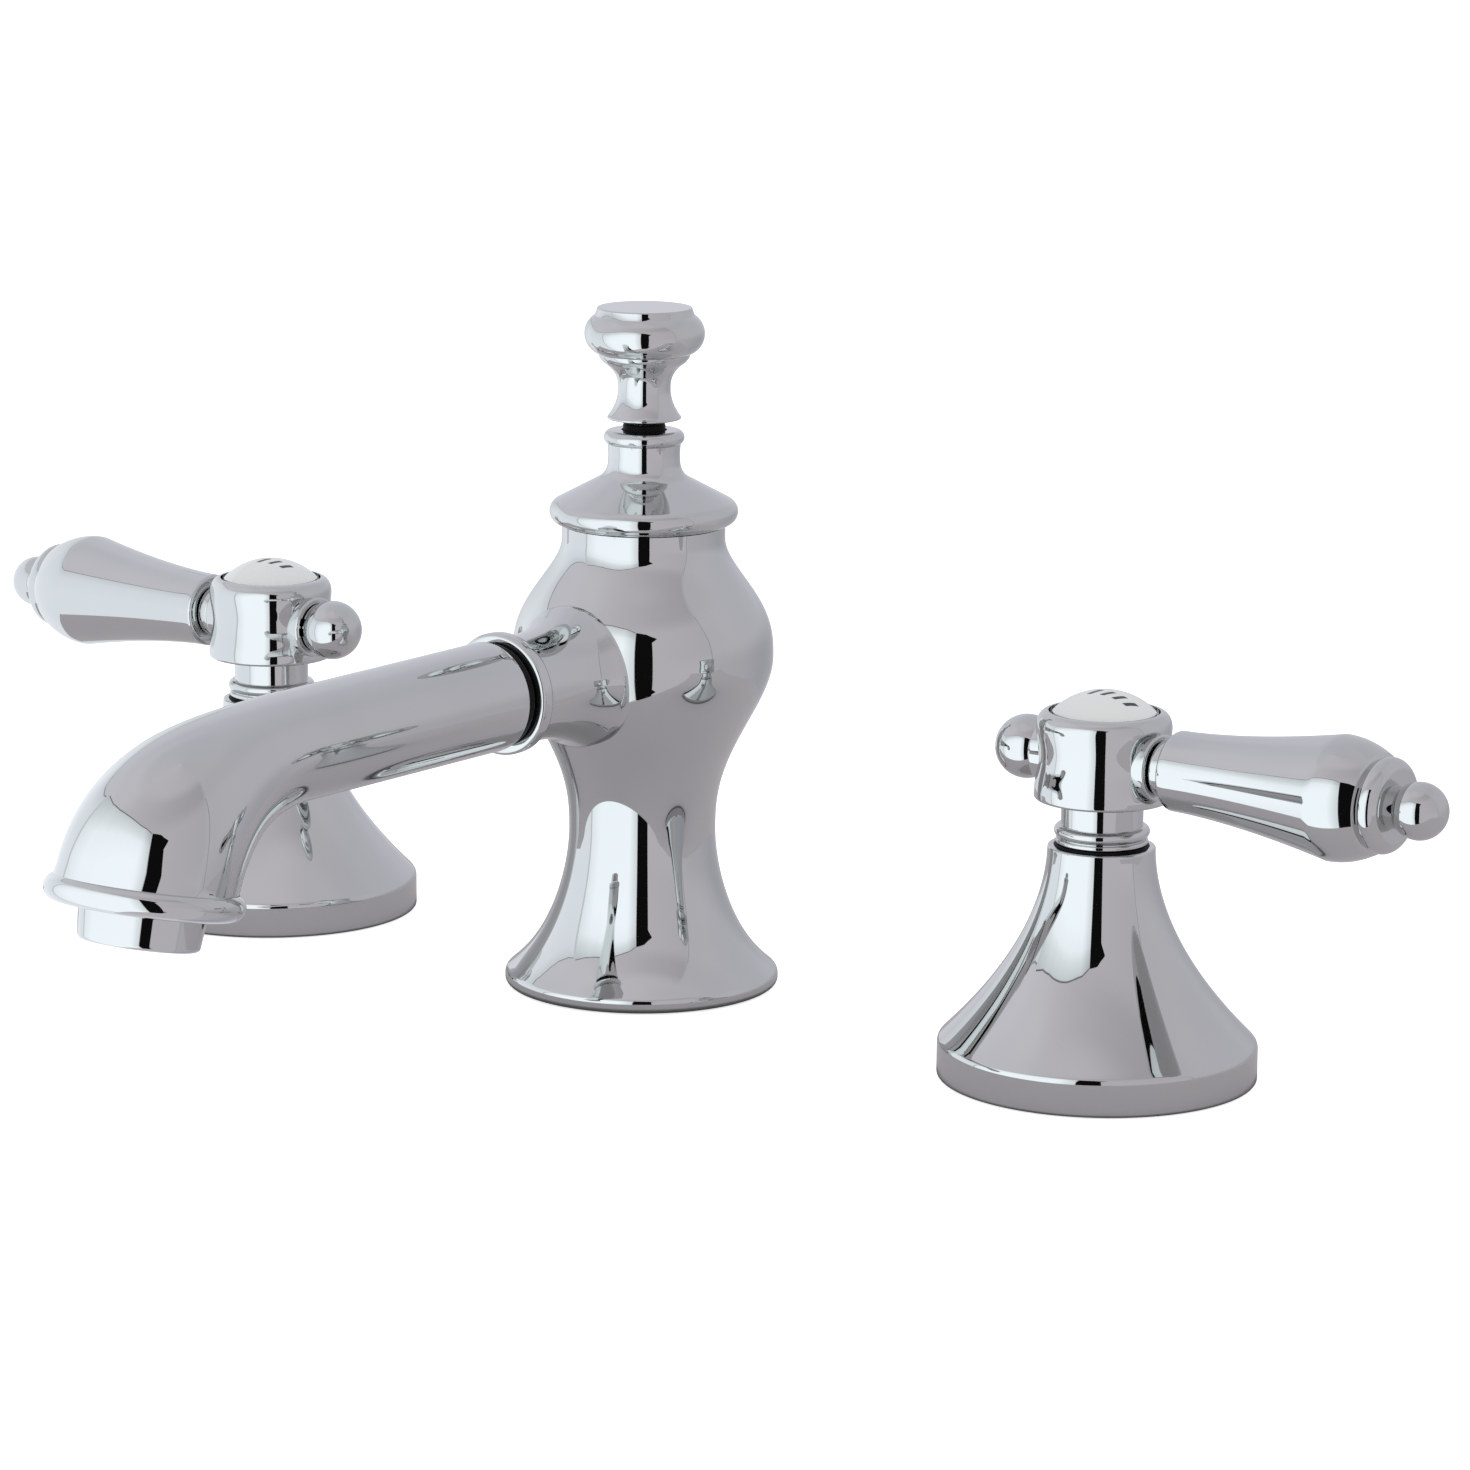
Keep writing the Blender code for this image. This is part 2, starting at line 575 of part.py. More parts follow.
def lift_knob(axis, chrome):
    skirt = (KNOB_SKIRT_RADIUS, KNOB_FOOT + KNOB_SKIRT_HEIGHT)
    neck = (KNOB_NECK_RADIUS, KNOB_FOOT + KNOB_NECK_RISE)
    flare = (KNOB_BULGE_RADIUS - KNOB_FLARE_INSET, KNOB_FOOT + KNOB_FLARE_RISE)
    bulge = (KNOB_BULGE_RADIUS - KNOB_BULGE_ROUND, flare[1] + KNOB_BULGE_ROUND)
    top = bulge[1] + KNOB_BULGE_ROUND + KNOB_TOP_HEIGHT
    top_radius = KNOB_BULGE_RADIUS - KNOB_TOP_INSET
    socket = ROD_RADIUS + SEAT_GAP
    outline = [(socket, KNOB_FOOT), (KNOB_SKIRT_RADIUS, KNOB_FOOT), skirt]
    outline += eased(skirt, neck, 3, lambda t: 1 - (1 - t) ** KNOB_SKIRT_POWER)
    outline += eased(neck, flare, 3, lambda t: t**KNOB_FLARE_POWER)
    outline += arc(*bulge, KNOB_BULGE_ROUND, -70, 66, 6)
    outline += [
        (top_radius, bulge[1] + KNOB_BULGE_ROUND - KNOB_TOP_EDGE),
        (top_radius, top - KNOB_TOP_EDGE),
        (top_radius - KNOB_TOP_EDGE, top),
        (0, top),
        (0, KNOB_FOOT + KNOB_SOCKET_DEPTH),
        (socket, KNOB_FOOT + KNOB_SOCKET_DEPTH),
    ]
    place(turned("lift_knob", outline, SHOWN_SIDES, chrome), axis)


def spout_collar(axis, chrome):
    """A trumpet cut to the vase's curve, with a spigot through the vase's wall."""
    flange = (COLLAR_NECK_RADIUS + COLLAR_FLANGE_WIDTH, COLLAR_FLANGE_REACH)
    neck = (COLLAR_NECK_RADIUS, COLLAR_NECK_REACH)
    outline = [(0, COLLAR_SPIGOT_START), (flange[0], COLLAR_SPIGOT_START), flange]
    outline += eased(flange, neck, 4, lambda t: 1 - (1 - t) ** COLLAR_FLARE_POWER)
    ring = COLLAR_NECK_RADIUS + COLLAR_RING_RISE - COLLAR_RING_ROUND
    ring_start = COLLAR_REACH - COLLAR_RING_WIDTH
    outline += arc(ring, ring_start + COLLAR_RING_ROUND, COLLAR_RING_ROUND, -90, 0, 2)
    outline += arc(ring, COLLAR_REACH - COLLAR_RING_ROUND, COLLAR_RING_ROUND, 0, 90, 2)
    outline += [(0, COLLAR_REACH)]
    turn = (math.pi / 2, 0, 0)
    seat = (0, 0, SPOUT_HEIGHT)
    collar = place(turned("spout_collar", outline, SHOWN_SIDES, chrome), axis, seat, turn)
    side = body_curve(SEAT_GAP, 5)
    envelope_outline = [(0, side[0][1])] + side + [(0, side[-1][1])]
    envelope = turned("vase_envelope", envelope_outline, WIDE_SIDES)
    shape_with(collar, place(envelope, axis), "DIFFERENCE")
    spigot_end = COLLAR_SPIGOT_START + COLLAR_SPIGOT_LENGTH
    spigot = ring_outline(0, COLLAR_SPIGOT_RADIUS, COLLAR_SPIGOT_START, spigot_end)
    tool = place(turned("collar_spigot", spigot, HIDDEN_SIDES), axis, seat, turn)
    shape_with(collar, tool, "UNION")
    riser_socket = RISER_RADIUS + SEAT_GAP
    socket_floor = COLLAR_REACH - COLLAR_SOCKET_DEPTH
    bore = [
        (0, COLLAR_SPIGOT_START - CUT_OVERRUN),
        (riser_socket, COLLAR_SPIGOT_START - CUT_OVERRUN),
        (riser_socket, RISER_SEAT_REACH),
        (COLLAR_BORE_RADIUS, RISER_SEAT_REACH),
        (COLLAR_BORE_RADIUS, socket_floor),
        (COLLAR_SOCKET_RADIUS, socket_floor),
        (COLLAR_SOCKET_RADIUS, COLLAR_REACH + CUT_OVERRUN),
        (0, COLLAR_REACH + CUT_OVERRUN),
    ]
    tool = place(turned("collar_bore", bore, SHOWN_SIDES), axis, seat, turn)
    shape_with(collar, tool, "DIFFERENCE")


def spout_seal(axis, rubber):
    outline = ring_outline(
        COLLAR_SOCKET_RADIUS, SPOUT_RADIUS - SEAL_INSET, SEAL_START, SEAL_START + SEAL_WIDTH
    )
    seal = turned("spout_seal_ring", outline, SHOWN_SIDES, rubber)
    place(seal, axis, (0, 0, SPOUT_HEIGHT), (math.pi / 2, 0, 0))


def outlet_frame():
    """Where the middle of the lip lies, and which way the water leaves."""
    centre = Vector((0, -OUTLET_REACH, OUTLET_HEIGHT))
    outward = Vector((0, -math.sin(OUTLET_TILT), -math.cos(OUTLET_TILT)))
    return centre, outward


def bend_station(t):
    """Centre and direction of the spout at share t of its bend."""
    centre, outward = outlet_frame()
    forward = Vector((0, -1, 0))
    first = Vector((0, -BEND_START, BEND_HEIGHT))
    guides = (first, first + forward * BEND_LEAD, centre - outward * OUTLET_LEAD, centre)
    a, b, c, d = guides
    point = a * (1 - t) ** 3 + b * 3 * t * (1 - t) ** 2 + c * 3 * t * t * (1 - t) + d * t**3
    direction = (b - a) * (1 - t) ** 2 + (c - b) * 2 * t * (1 - t) + (d - c) * t * t
    return point, direction.normalized()


def spout_tube(axis, chrome):
    """The spout: spigot, straight run, bend that swells to the lip, and the waterway inside."""
    forward = Vector((0, -1, 0))
    centre, outward = outlet_frame()

    def straight(reach, radius):
        return Vector((0, -reach, SPOUT_HEIGHT)), forward, radius

    def in_outlet(past_lip, radius):
        return centre + outward * past_lip, outward, radius

    def bend_radius(t):
        swollen = t**OUTLET_SWELL_POWER
        share = swollen / (swollen + (1 - t) ** OUTLET_SWELL_POWER)
        return SPOUT_SLIM_RADIUS + (OUTLET_RADIUS - SPOUT_SLIM_RADIUS) * share

    spigot_start = COLLAR_REACH - COLLAR_SOCKET_DEPTH + SEAT_GAP
    rings = [
        straight(spigot_start, SPOUT_SPIGOT_RADIUS),
        straight(SPOUT_START, SPOUT_SPIGOT_RADIUS),
        straight(SPOUT_START, SPOUT_RADIUS),
    ]
    bend_steps = 8
    for step in range(bend_steps):
        t = step / bend_steps
        rings.append((*bend_station(t), bend_radius(t)))
    lip = arc(LIP_RADIUS - LIP_ROUND, 0, LIP_ROUND, 68, -90, 5)
    rings += [in_outlet(-height, radius) for radius, height in lip]
    aerator_bore = AERATOR_RADIUS + SEAT_GAP
    rings += [in_outlet(LIP_ROUND, aerator_bore), in_outlet(-AERATOR_BORE_DEPTH, aerator_bore)]
    rings.append(in_outlet(-AERATOR_BORE_DEPTH, AERATOR_RADIUS - AERATOR_WASHER_WIDTH))
    for step in (5, 4, 3, 2, 0):
        t = step / bend_steps
        rings.append((*bend_station(t), bend_radius(t) - SPOUT_WALL))
    spigot_bore = SPOUT_SPIGOT_RADIUS - SPOUT_SPIGOT_WALL
    rings += [straight(SPOUT_START, spigot_bore), straight(spigot_start, spigot_bore)]
    place(lofted("spout_tube", rings, WIDE_SIDES, chrome), axis)


def place_in_outlet(made, axis):
    centre, outward = outlet_frame()
    return place(made, axis, centre, (math.pi - OUTLET_TILT, 0, 0))


def aerator(axis, chrome, plastic, rubber):
    """Housing, insert and washer, measured along the outlet."""
    washer_start = SEAT_GAP - AERATOR_BORE_DEPTH
    housing_start = washer_start + AERATOR_WASHER_THICKNESS + SEAT_GAP
    end_radius = AERATOR_RADIUS - AERATOR_TAPER
    mouth_radius = AERATOR_RADIUS - AERATOR_MOUTH_INSET
    corner = (end_radius - AERATOR_END_ROUND, AERATOR_END - AERATOR_END_ROUND)
    inside = AERATOR_RADIUS - AERATOR_WALL
    mouth_top = AERATOR_END - AERATOR_MOUTH_LIP
    outline = [(inside, housing_start), (AERATOR_RADIUS, housing_start)]
    outline += [(AERATOR_RADIUS, LIP_ROUND)] + arc(*corner, AERATOR_END_ROUND, 0, 90, 2)
    outline += [(mouth_radius, AERATOR_END), (mouth_radius, mouth_top)]
    outline += [(inside, mouth_top - AERATOR_WALL)]
    place_in_outlet(turned("aerator_housing", outline, SHOWN_SIDES, chrome), axis)

    insert_end = mouth_top - AERATOR_WALL - SEAT_GAP
    disc = ring_outline(0, inside - SEAT_GAP, insert_end - INSERT_THICKNESS, insert_end)
    insert = place_in_outlet(turned("aerator_insert", disc, HIDDEN_SIDES, plastic), axis)
    centre, outward = outlet_frame()
    for hole in range(INSERT_HOLES):
        angle = 2 * math.pi * hole / INSERT_HOLES
        spot = Vector((INSERT_HOLE_CIRCLE * math.cos(angle), INSERT_HOLE_CIRCLE * math.sin(angle), 0))
        drill = ring_outline(
            0, INSERT_HOLE_RADIUS, insert_end - INSERT_THICKNESS - CUT_OVERRUN, insert_end + CUT_OVERRUN
        )
        cutter = place(turned("insert_drill", drill, HOLE_SIDES), insert, spot)
        shape_with(insert, cutter, "DIFFERENCE")

    bore = AERATOR_RADIUS - AERATOR_WASHER_WIDTH
    washer = ring_outline(
        bore, AERATOR_RADIUS, washer_start, washer_start + AERATOR_WASHER_THICKNESS
    )
    place_in_outlet(turned("aerator_washer", washer, HIDDEN_SIDES, rubber), axis)


def spout_mounting(axis, brass, rubber):
    gasket = ring_outline(
        SHANK_RADIUS + SEAT_GAP, FOOT_RECESS_RADIUS - SEAT_GAP, 0, GASKET_THICKNESS
    )
    place(turned("foot_gasket", gasket, HIDDEN_SIDES, rubber), axis)
    shank = ring_outline(SHANK_RADIUS - SHANK_WALL, SHANK_RADIUS, -SHANK_BELOW_DECK, FLOOR_HEIGHT)
    place(turned("spout_shank", shank, HIDDEN_SIDES, brass), axis)


def riser_pipe(axis, brass):
    """Carries the water from the tee up through the shank and into the collar."""
    corner = Vector((0, -RISER_OFFSET - RISER_BEND, SPOUT_HEIGHT - RISER_BEND))
    foot = Vector((0, -RISER_OFFSET, TEE_SOCKET_FLOOR - TEE_DEPTH + SEAT_GAP))
    stations = [(foot, Vector((0, 0, 1)))]
    bend_steps = 4
    for step in range(bend_steps + 1):
        angle = math.pi / 2 * step / bend_steps
        spoke = Vector((0, math.cos(angle), math.sin(angle)))
        stations.append((corner + spoke * RISER_BEND, Vector((0, -math.sin(angle), math.cos(angle)))))
    stations.append((Vector((0, SEAT_GAP - RISER_SEAT_REACH, SPOUT_HEIGHT)), Vector((0, -1, 0))))
    rings = [(point, direction, RISER_RADIUS) for point, direction in stations]
    bore = RISER_RADIUS - RISER_WALL
    rings += [(point, direction, bore) for point, direction in reversed(stations)]
    place(lofted("riser_pipe", rings, HIDDEN_SIDES, brass), axis)


def inlet_tee(axis, brass):
    """A cross pipe that takes the hot and cold hoses, with a socket for the riser."""
    spot = (0, -RISER_OFFSET, -TEE_DEPTH)
    half = TEE_LENGTH / 2
    along = (0, math.pi / 2, 0)
    bar = ring_outline(0, TEE_RADIUS, -half, half)
    tee = place(turned("inlet_tee", bar, HIDDEN_SIDES, brass), axis, spot, along)
    socket = RISER_RADIUS + SEAT_GAP
    boss = ring_outline(0, socket + TEE_BOSS_WALL, 0, TEE_BOSS_HEIGHT)
    tool = turned("tee_boss", boss, HIDDEN_SIDES, start=OFF_CORNERS)
    shape_with(tee, place(tool, axis, spot), "UNION")
    cross_bore = ring_outline(0, TEE_BORE, -half - CUT_OVERRUN, half + CUT_OVERRUN)
    cutter = place(turned("tee_bore", cross_bore, HOLE_SIDES), axis, spot, along)
    shape_with(tee, cutter, "DIFFERENCE")
    rise = [
        (0, 0),
        (TEE_BORE, 0),
        (TEE_BORE, TEE_SOCKET_FLOOR),
        (socket, TEE_SOCKET_FLOOR),
        (socket, TEE_BOSS_HEIGHT + CUT_OVERRUN),
        (0, TEE_BOSS_HEIGHT + CUT_OVERRUN),
    ]
    shape_with(tee, place(turned("tee_socket", rise, HIDDEN_SIDES), axis, spot), "DIFFERENCE")


def clamp_pieces(group, axis, thread_radius, steel, rubber, brass):
    """Rubber washer, metal washer and nut that pull a threaded shank down onto the deck."""
    bore = thread_radius + SEAT_GAP
    rubber_top = -DECK_THICKNESS - SEAT_GAP
    rubber_foot = rubber_top - RUBBER_WASHER_THICKNESS
    metal_top = rubber_foot - SEAT_GAP
    soft = ring_outline(bore, bore + RUBBER_WASHER_WIDTH, rubber_foot, rubber_top)
    place(turned(group + "_rubber_washer", soft, HIDDEN_SIDES, rubber), axis)
    hard = ring_outline(bore, bore + METAL_WASHER_WIDTH, metal_top - METAL_WASHER_THICKNESS, metal_top)
    place(turned(group + "_metal_washer", hard, HIDDEN_SIDES, steel), axis)
    nut_foot = -NUT_TOP_DEPTH - MOUNTING_NUT_HEIGHT
    ring_nut(group + "_mounting_nut", axis, bore, MOUNTING_NUT_WIDTH, nut_foot, -NUT_TOP_DEPTH, brass)


def ring_nut(name, axis, bore, width, foot, top, material):
    nut = place(hexagon(name, (bore + width) * 2, foot, top), axis)
    nut.data.materials.append(material)
    hole = ring_outline(0, bore, foot - CUT_OVERRUN, top + CUT_OVERRUN)
    shape_with(nut, place(turned(name + "_hole", hole, HIDDEN_SIDES), axis), "DIFFERENCE")


def valve_body(group, axis, toward_spout, brass):
    """Threaded barrel, block with the outlet port, and inlet tail, with the bores joined as in use."""
    outline = [
        (0, -INLET_DEPTH),
        (INLET_RADIUS, -INLET_DEPTH),
        (INLET_RADIUS, -BLOCK_DEPTH),
        (BLOCK_RADIUS, -BLOCK_DEPTH),
        (BLOCK_RADIUS, -BARREL_DEPTH),
        (BARREL_RADIUS, -BARREL_DEPTH),
        (BARREL_RADIUS, BARREL_TOP),
        (0, BARREL_TOP),
    ]
    body = place(turned(group + "_valve_body", outline, HIDDEN_SIDES, brass), axis)
    sideways = (0, toward_spout * math.pi / 2, 0)
    port_place = (0, 0, -OUTLET_PORT_DEPTH)
    port_end = BLOCK_RADIUS + OUTLET_PORT_LENGTH
    port = ring_outline(0, OUTLET_PORT_RADIUS, 0, port_end)
    tool = turned(group + "_port", port, HIDDEN_SIDES, start=OFF_CORNERS)
    shape_with(body, place(tool, axis, port_place, sideways), "UNION")
    bore = [
        (0, -INLET_DEPTH - CUT_OVERRUN),
        (INLET_BORE, -INLET_DEPTH - CUT_OVERRUN),
        (INLET_BORE, -CAVITY_DEPTH),
        (CAVITY_RADIUS, -CAVITY_DEPTH),
        (CAVITY_RADIUS, BARREL_TOP + CUT_OVERRUN),
        (0, BARREL_TOP + CUT_OVERRUN),
    ]
    shape_with(body, place(turned(group + "_bore", bore, HIDDEN_SIDES), axis), "DIFFERENCE")
    bore_start = OUTLET_CHANNEL_OFFSET - OUTLET_CHANNEL_RADIUS
    port_bore = ring_outline(0, OUTLET_PORT_BORE, bore_start, port_end + CUT_OVERRUN)
    tool = place(turned(group + "_port_bore", port_bore, HOLE_SIDES), axis, port_place, sideways)
    shape_with(body, tool, "DIFFERENCE")
    channel = ring_outline(0, OUTLET_CHANNEL_RADIUS, -OUTLET_PORT_DEPTH, CUT_OVERRUN - CAVITY_DEPTH)
    spot = (toward_spout * OUTLET_CHANNEL_OFFSET, 0, 0)
    shape_with(body, place(turned(group + "_channel", channel, HOLE_SIDES), axis, spot), "DIFFERENCE")


def ceramic_disc(name, axis, foot, ports_turned, ceramic):
    disc_outline = ring_outline(0, DISC_RADIUS, foot, foot + DISC_THICKNESS)
    disc = place(turned(name, disc_outline, HIDDEN_SIDES, ceramic), axis)
    for side in (-1, 1):
        angle = ports_turned + side * math.pi / 2
        spot = (DISC_PORT_OFFSET * math.cos(angle), DISC_PORT_OFFSET * math.sin(angle), 0)
        drill = ring_outline(0, DISC_PORT_RADIUS, foot - CUT_OVERRUN, foot + DISC_THICKNESS + CUT_OVERRUN)
        shape_with(disc, place(turned(name + "_port", drill, HOLE_SIDES), axis, spot), "DIFFERENCE")


def cartridge(group, axis, handle_axis, brass, ceramic, rubber):
    """Seal, discs, housing and bonnet nut. The ports of the two discs lie crosswise when shut."""
    seal_foot = SEAT_GAP - CAVITY_DEPTH
    seal = ring_outline(INLET_BORE, SEAT_SEAL_RADIUS, seal_foot, seal_foot + SEAT_SEAL_THICKNESS)
    place(turned(group + "_seat_seal", seal, HIDDEN_SIDES, rubber), axis)
    ceramic_disc(group + "_fixed_disc", axis, FIXED_DISC_FOOT, 0, ceramic)
    ceramic_disc(group + "_moving_disc", handle_axis, MOVING_DISC_FOOT, math.pi / 2, ceramic)
    roof = STEM_FOOT_TOP + SEAT_GAP
    flange_foot = BARREL_TOP + SEAT_GAP
    flange_top = flange_foot + CARTRIDGE_FLANGE_THICKNESS
    flange_radius = BARREL_RADIUS - CARTRIDGE_FLANGE_INSET
    neck_radius = STEM_BORE + CARTRIDGE_NECK_WALL
    neck_top = flange_top + CARTRIDGE_NECK_HEIGHT
    housing_outline = [
        (DISC_BORE, FIXED_DISC_FOOT),
        (CARTRIDGE_RADIUS, FIXED_DISC_FOOT),
        (CARTRIDGE_RADIUS, flange_foot),
        (flange_radius, flange_foot),
        (flange_radius, flange_top),
        (neck_radius, flange_top),
        (neck_radius, neck_top),
        (STEM_BORE, neck_top),
        (STEM_BORE, roof),
        (DISC_BORE, roof),
    ]
    housing = place(turned(group + "_cartridge", housing_outline, HIDDEN_SIDES, brass), axis)
    window = bmesh.new()
    size = Matrix.Diagonal((CARTRIDGE_RADIUS * 3, WINDOW_WIDTH, WINDOW_HEIGHT, 1))
    middle = MOVING_DISC_FOOT + DISC_THICKNESS
    bmesh.ops.create_cube(window, size=1, matrix=Matrix.Translation((0, 0, middle)) @ size)
    shape_with(housing, place(as_object(group + "_window", window, None), axis), "DIFFERENCE")
    skirt_bore = BARREL_RADIUS + SEAT_GAP
    skirt_radius = skirt_bore + BONNET_SKIRT_WALL
    crown_bore = neck_radius + SEAT_GAP
    crown_foot = flange_top + SEAT_GAP
    bonnet = [
        (skirt_bore, BARREL_TOP - BONNET_SKIRT_DEPTH),
        (skirt_radius, BARREL_TOP - BONNET_SKIRT_DEPTH),
        (skirt_radius, BARREL_TOP + BONNET_SHOULDER),
        (crown_bore + BONNET_CROWN_WALL, crown_foot + BONNET_CROWN),
        (crown_bore, crown_foot + BONNET_CROWN),
        (crown_bore, crown_foot),
        (skirt_bore, crown_foot),
    ]
    place(turned(group + "_bonnet_nut", bonnet, HIDDEN_SIDES, brass), axis)


def bell_curve(offset, steps):
    """The bell's side from its shoulder to its top, moved outward by offset."""
    shoulder = (BELL_RADIUS - BELL_SHOULDER, BELL_WALL_HEIGHT + BELL_SHOULDER)
    top = (BELL_TOP_RADIUS, BELL_HEIGHT)
    side = [shoulder] + eased(shoulder, top, steps, lambda t: 1 - (1 - t) ** BELL_FLARE_POWER)
    return [(radius + offset, height) for radius, height in side]


def escutcheon(group, axis, chrome):
    outer = [
        (BELL_RADIUS - BELL_EDGE, 0),
        (BELL_RADIUS, BELL_EDGE),
        (BELL_RADIUS, BELL_WALL_HEIGHT),
    ]
    outer += bell_curve(0, 6)
    ring_seat = GLIDE_RING_RADIUS + SEAT_GAP
    mouth_foot = GLIDE_RING_SEAT - BELL_MOUTH_THICKNESS
    inner = [(ring_seat, BELL_HEIGHT), (ring_seat, GLIDE_RING_SEAT)]
    mouth_radius = COLLAR_SLEEVE_RADIUS + BELL_MOUTH_CLEARANCE
    inner += [(mouth_radius, GLIDE_RING_SEAT), (mouth_radius, mouth_foot)]
    inner += [point for point in reversed(bell_curve(-BELL_SHELL, 3)) if point[1] < mouth_foot]
    inner += [(BELL_RADIUS - BELL_SHELL - BELL_SHOULDER, 0)]
    place(turned(group + "_escutcheon", outer + inner, WIDE_SIDES, chrome), axis)


def glide_ring(group, axis, rubber):
    outline = ring_outline(
        COLLAR_SLEEVE_RADIUS + SEAT_GAP, GLIDE_RING_RADIUS, GLIDE_RING_SEAT + SEAT_GAP, GLIDE_RING_TOP
    )
    place(turned(group + "_glide_ring", outline, SHOWN_SIDES, rubber), axis)


def stem(group, axis, brass):
    hole = SCREW_RADIUS + SEAT_GAP
    hole_floor = SCREW_SEAT + SEAT_GAP - SCREW_LENGTH - SCREW_HOLE_SPARE
    outline = [
        (0, STEM_FOOT),
        (DISC_RADIUS, STEM_FOOT),
        (DISC_RADIUS, STEM_FOOT_TOP),
        (STEM_RADIUS, STEM_FOOT_TOP),
        (STEM_RADIUS, STEM_TOP),
        (hole, STEM_TOP),
        (hole, hole_floor),
        (0, hole_floor),
    ]
    place(turned(group + "_stem", outline, HIDDEN_SIDES, brass), axis)


def handle_collar(group, axis, chrome):
    bead = (COLLAR_BEAD_RADIUS - COLLAR_BEAD_ROUND, COLLAR_FOOT + COLLAR_BEAD_ROUND)
    sleeve_foot = COLLAR_FOOT - COLLAR_SLEEVE_DEPTH
    spigot_top = HANDLE_NECK_TOP + HANDLE_SPIGOT_LENGTH
    outline = [(STEM_BORE, sleeve_foot), (COLLAR_SLEEVE_RADIUS, sleeve_foot)]
    outline += [(COLLAR_SLEEVE_RADIUS, COLLAR_FOOT)]
    outline += arc(*bead, COLLAR_BEAD_ROUND, -90, 75, 4)
    outline += [
        (HANDLE_NECK_RADIUS, bead[1] + COLLAR_BEAD_ROUND),
        (HANDLE_NECK_RADIUS, HANDLE_NECK_TOP),
        (HANDLE_SPIGOT_RADIUS, HANDLE_NECK_TOP),
        (HANDLE_SPIGOT_RADIUS, spigot_top),
        (STEM_BORE, spigot_top),
    ]
    place(turned(group + "_handle_collar", outline, SHOWN_SIDES, chrome), axis)


def hub(group, axis, chrome):
    """A waisted barrel with a boss on both sides, bored for the stem, the screw and the studs."""
    low = (HUB_RADIUS, HUB_FOOT + HUB_FLANGE_HEIGHT)
    waist = (HUB_WAIST_RADIUS, LEVER_HEIGHT)
    shoulder = (HUB_SHOULDER_RADIUS, HUB_SHOULDER_HEIGHT)
    outline = [(HUB_RADIUS - HUB_EDGE, HUB_FOOT), low]
    outline += eased(low, waist, 2, smooth)
    outline += eased(waist, shoulder, 2, smooth)
    for step in range(1, HUB_ROUND_STEPS + 1):
        angle = math.pi / 2 * step / HUB_ROUND_STEPS
        radius = HUB_RIM_RADIUS + (HUB_SHOULDER_RADIUS - HUB_RIM_RADIUS) * math.cos(angle)
        height = HUB_SHOULDER_HEIGHT + (HUB_HEIGHT - HUB_SHOULDER_HEIGHT) * math.sin(angle)
        outline.append((radius, height))
    recess = HANDLE_SPIGOT_RADIUS + SEAT_GAP
    screw_hole = SCREW_RADIUS + SEAT_GAP
    button_hole = BUTTON_RADIUS + SEAT_GAP
    outline += [
        (button_hole, HUB_HEIGHT),
        (button_hole, BUTTON_SEAT),
        (HEAD_HOLE_RADIUS, BUTTON_SEAT),
        (HEAD_HOLE_RADIUS, SCREW_SEAT),
        (screw_hole, SCREW_SEAT),
        (screw_hole, SOCKET_ROOF),
        (STEM_BORE, SOCKET_ROOF),
        (STEM_BORE, HUB_RECESS_TOP),
        (recess, HUB_RECESS_TOP),
        (recess, HUB_FOOT),
    ]
    made = place(turned(group + "_hub", outline, SHOWN_SIDES, chrome), axis)
    boss_radius = STUD_HOLE_RADIUS + HUB_BOSS_WALL
    boss_root = HUB_WAIST_RADIUS - HUB_BOSS_ROOT
    boss = [(0, boss_root), (boss_radius, boss_root)]
    boss += [(boss_radius, HUB_BOSS_REACH - HUB_BOSS_EDGE)]
    boss += [(boss_radius - HUB_BOSS_EDGE, HUB_BOSS_REACH), (0, HUB_BOSS_REACH)]
    drill = ring_outline(0, STUD_HOLE_RADIUS, STUD_HOLE_START, HUB_BOSS_REACH + CUT_OVERRUN)
    for side in (-1, 1):
        spot = (0, 0, LEVER_HEIGHT)
        turn = (0, side * math.pi / 2, 0)
        tool = turned(group + "_boss", boss, HIDDEN_SIDES, start=OFF_CORNERS)
        shape_with(made, place(tool, axis, spot, turn), "UNION")
        tool = turned(group + "_stud_hole", drill, HIDDEN_SIDES)
        shape_with(made, place(tool, axis, spot, turn), "DIFFERENCE")


def handle_screw(group, axis, steel):
    head_foot = SCREW_SEAT + SEAT_GAP
    head_top = head_foot + SCREW_HEAD_HEIGHT
    outline = [
        (0, head_foot - SCREW_LENGTH),
        (SCREW_RADIUS, head_foot - SCREW_LENGTH),
        (SCREW_RADIUS, head_foot),
        (SCREW_HEAD_RADIUS, head_foot),
        (SCREW_HEAD_RADIUS, head_top),
        (SCREW_HEAD_RADIUS - SCREW_KEY_WALL, head_top),
        (SCREW_HEAD_RADIUS - SCREW_KEY_WALL, head_top - SCREW_KEY_DEPTH),
        (0, head_top - SCREW_KEY_DEPTH),
    ]
    place(turned(group + "_handle_screw", outline, HIDDEN_SIDES, steel), axis)


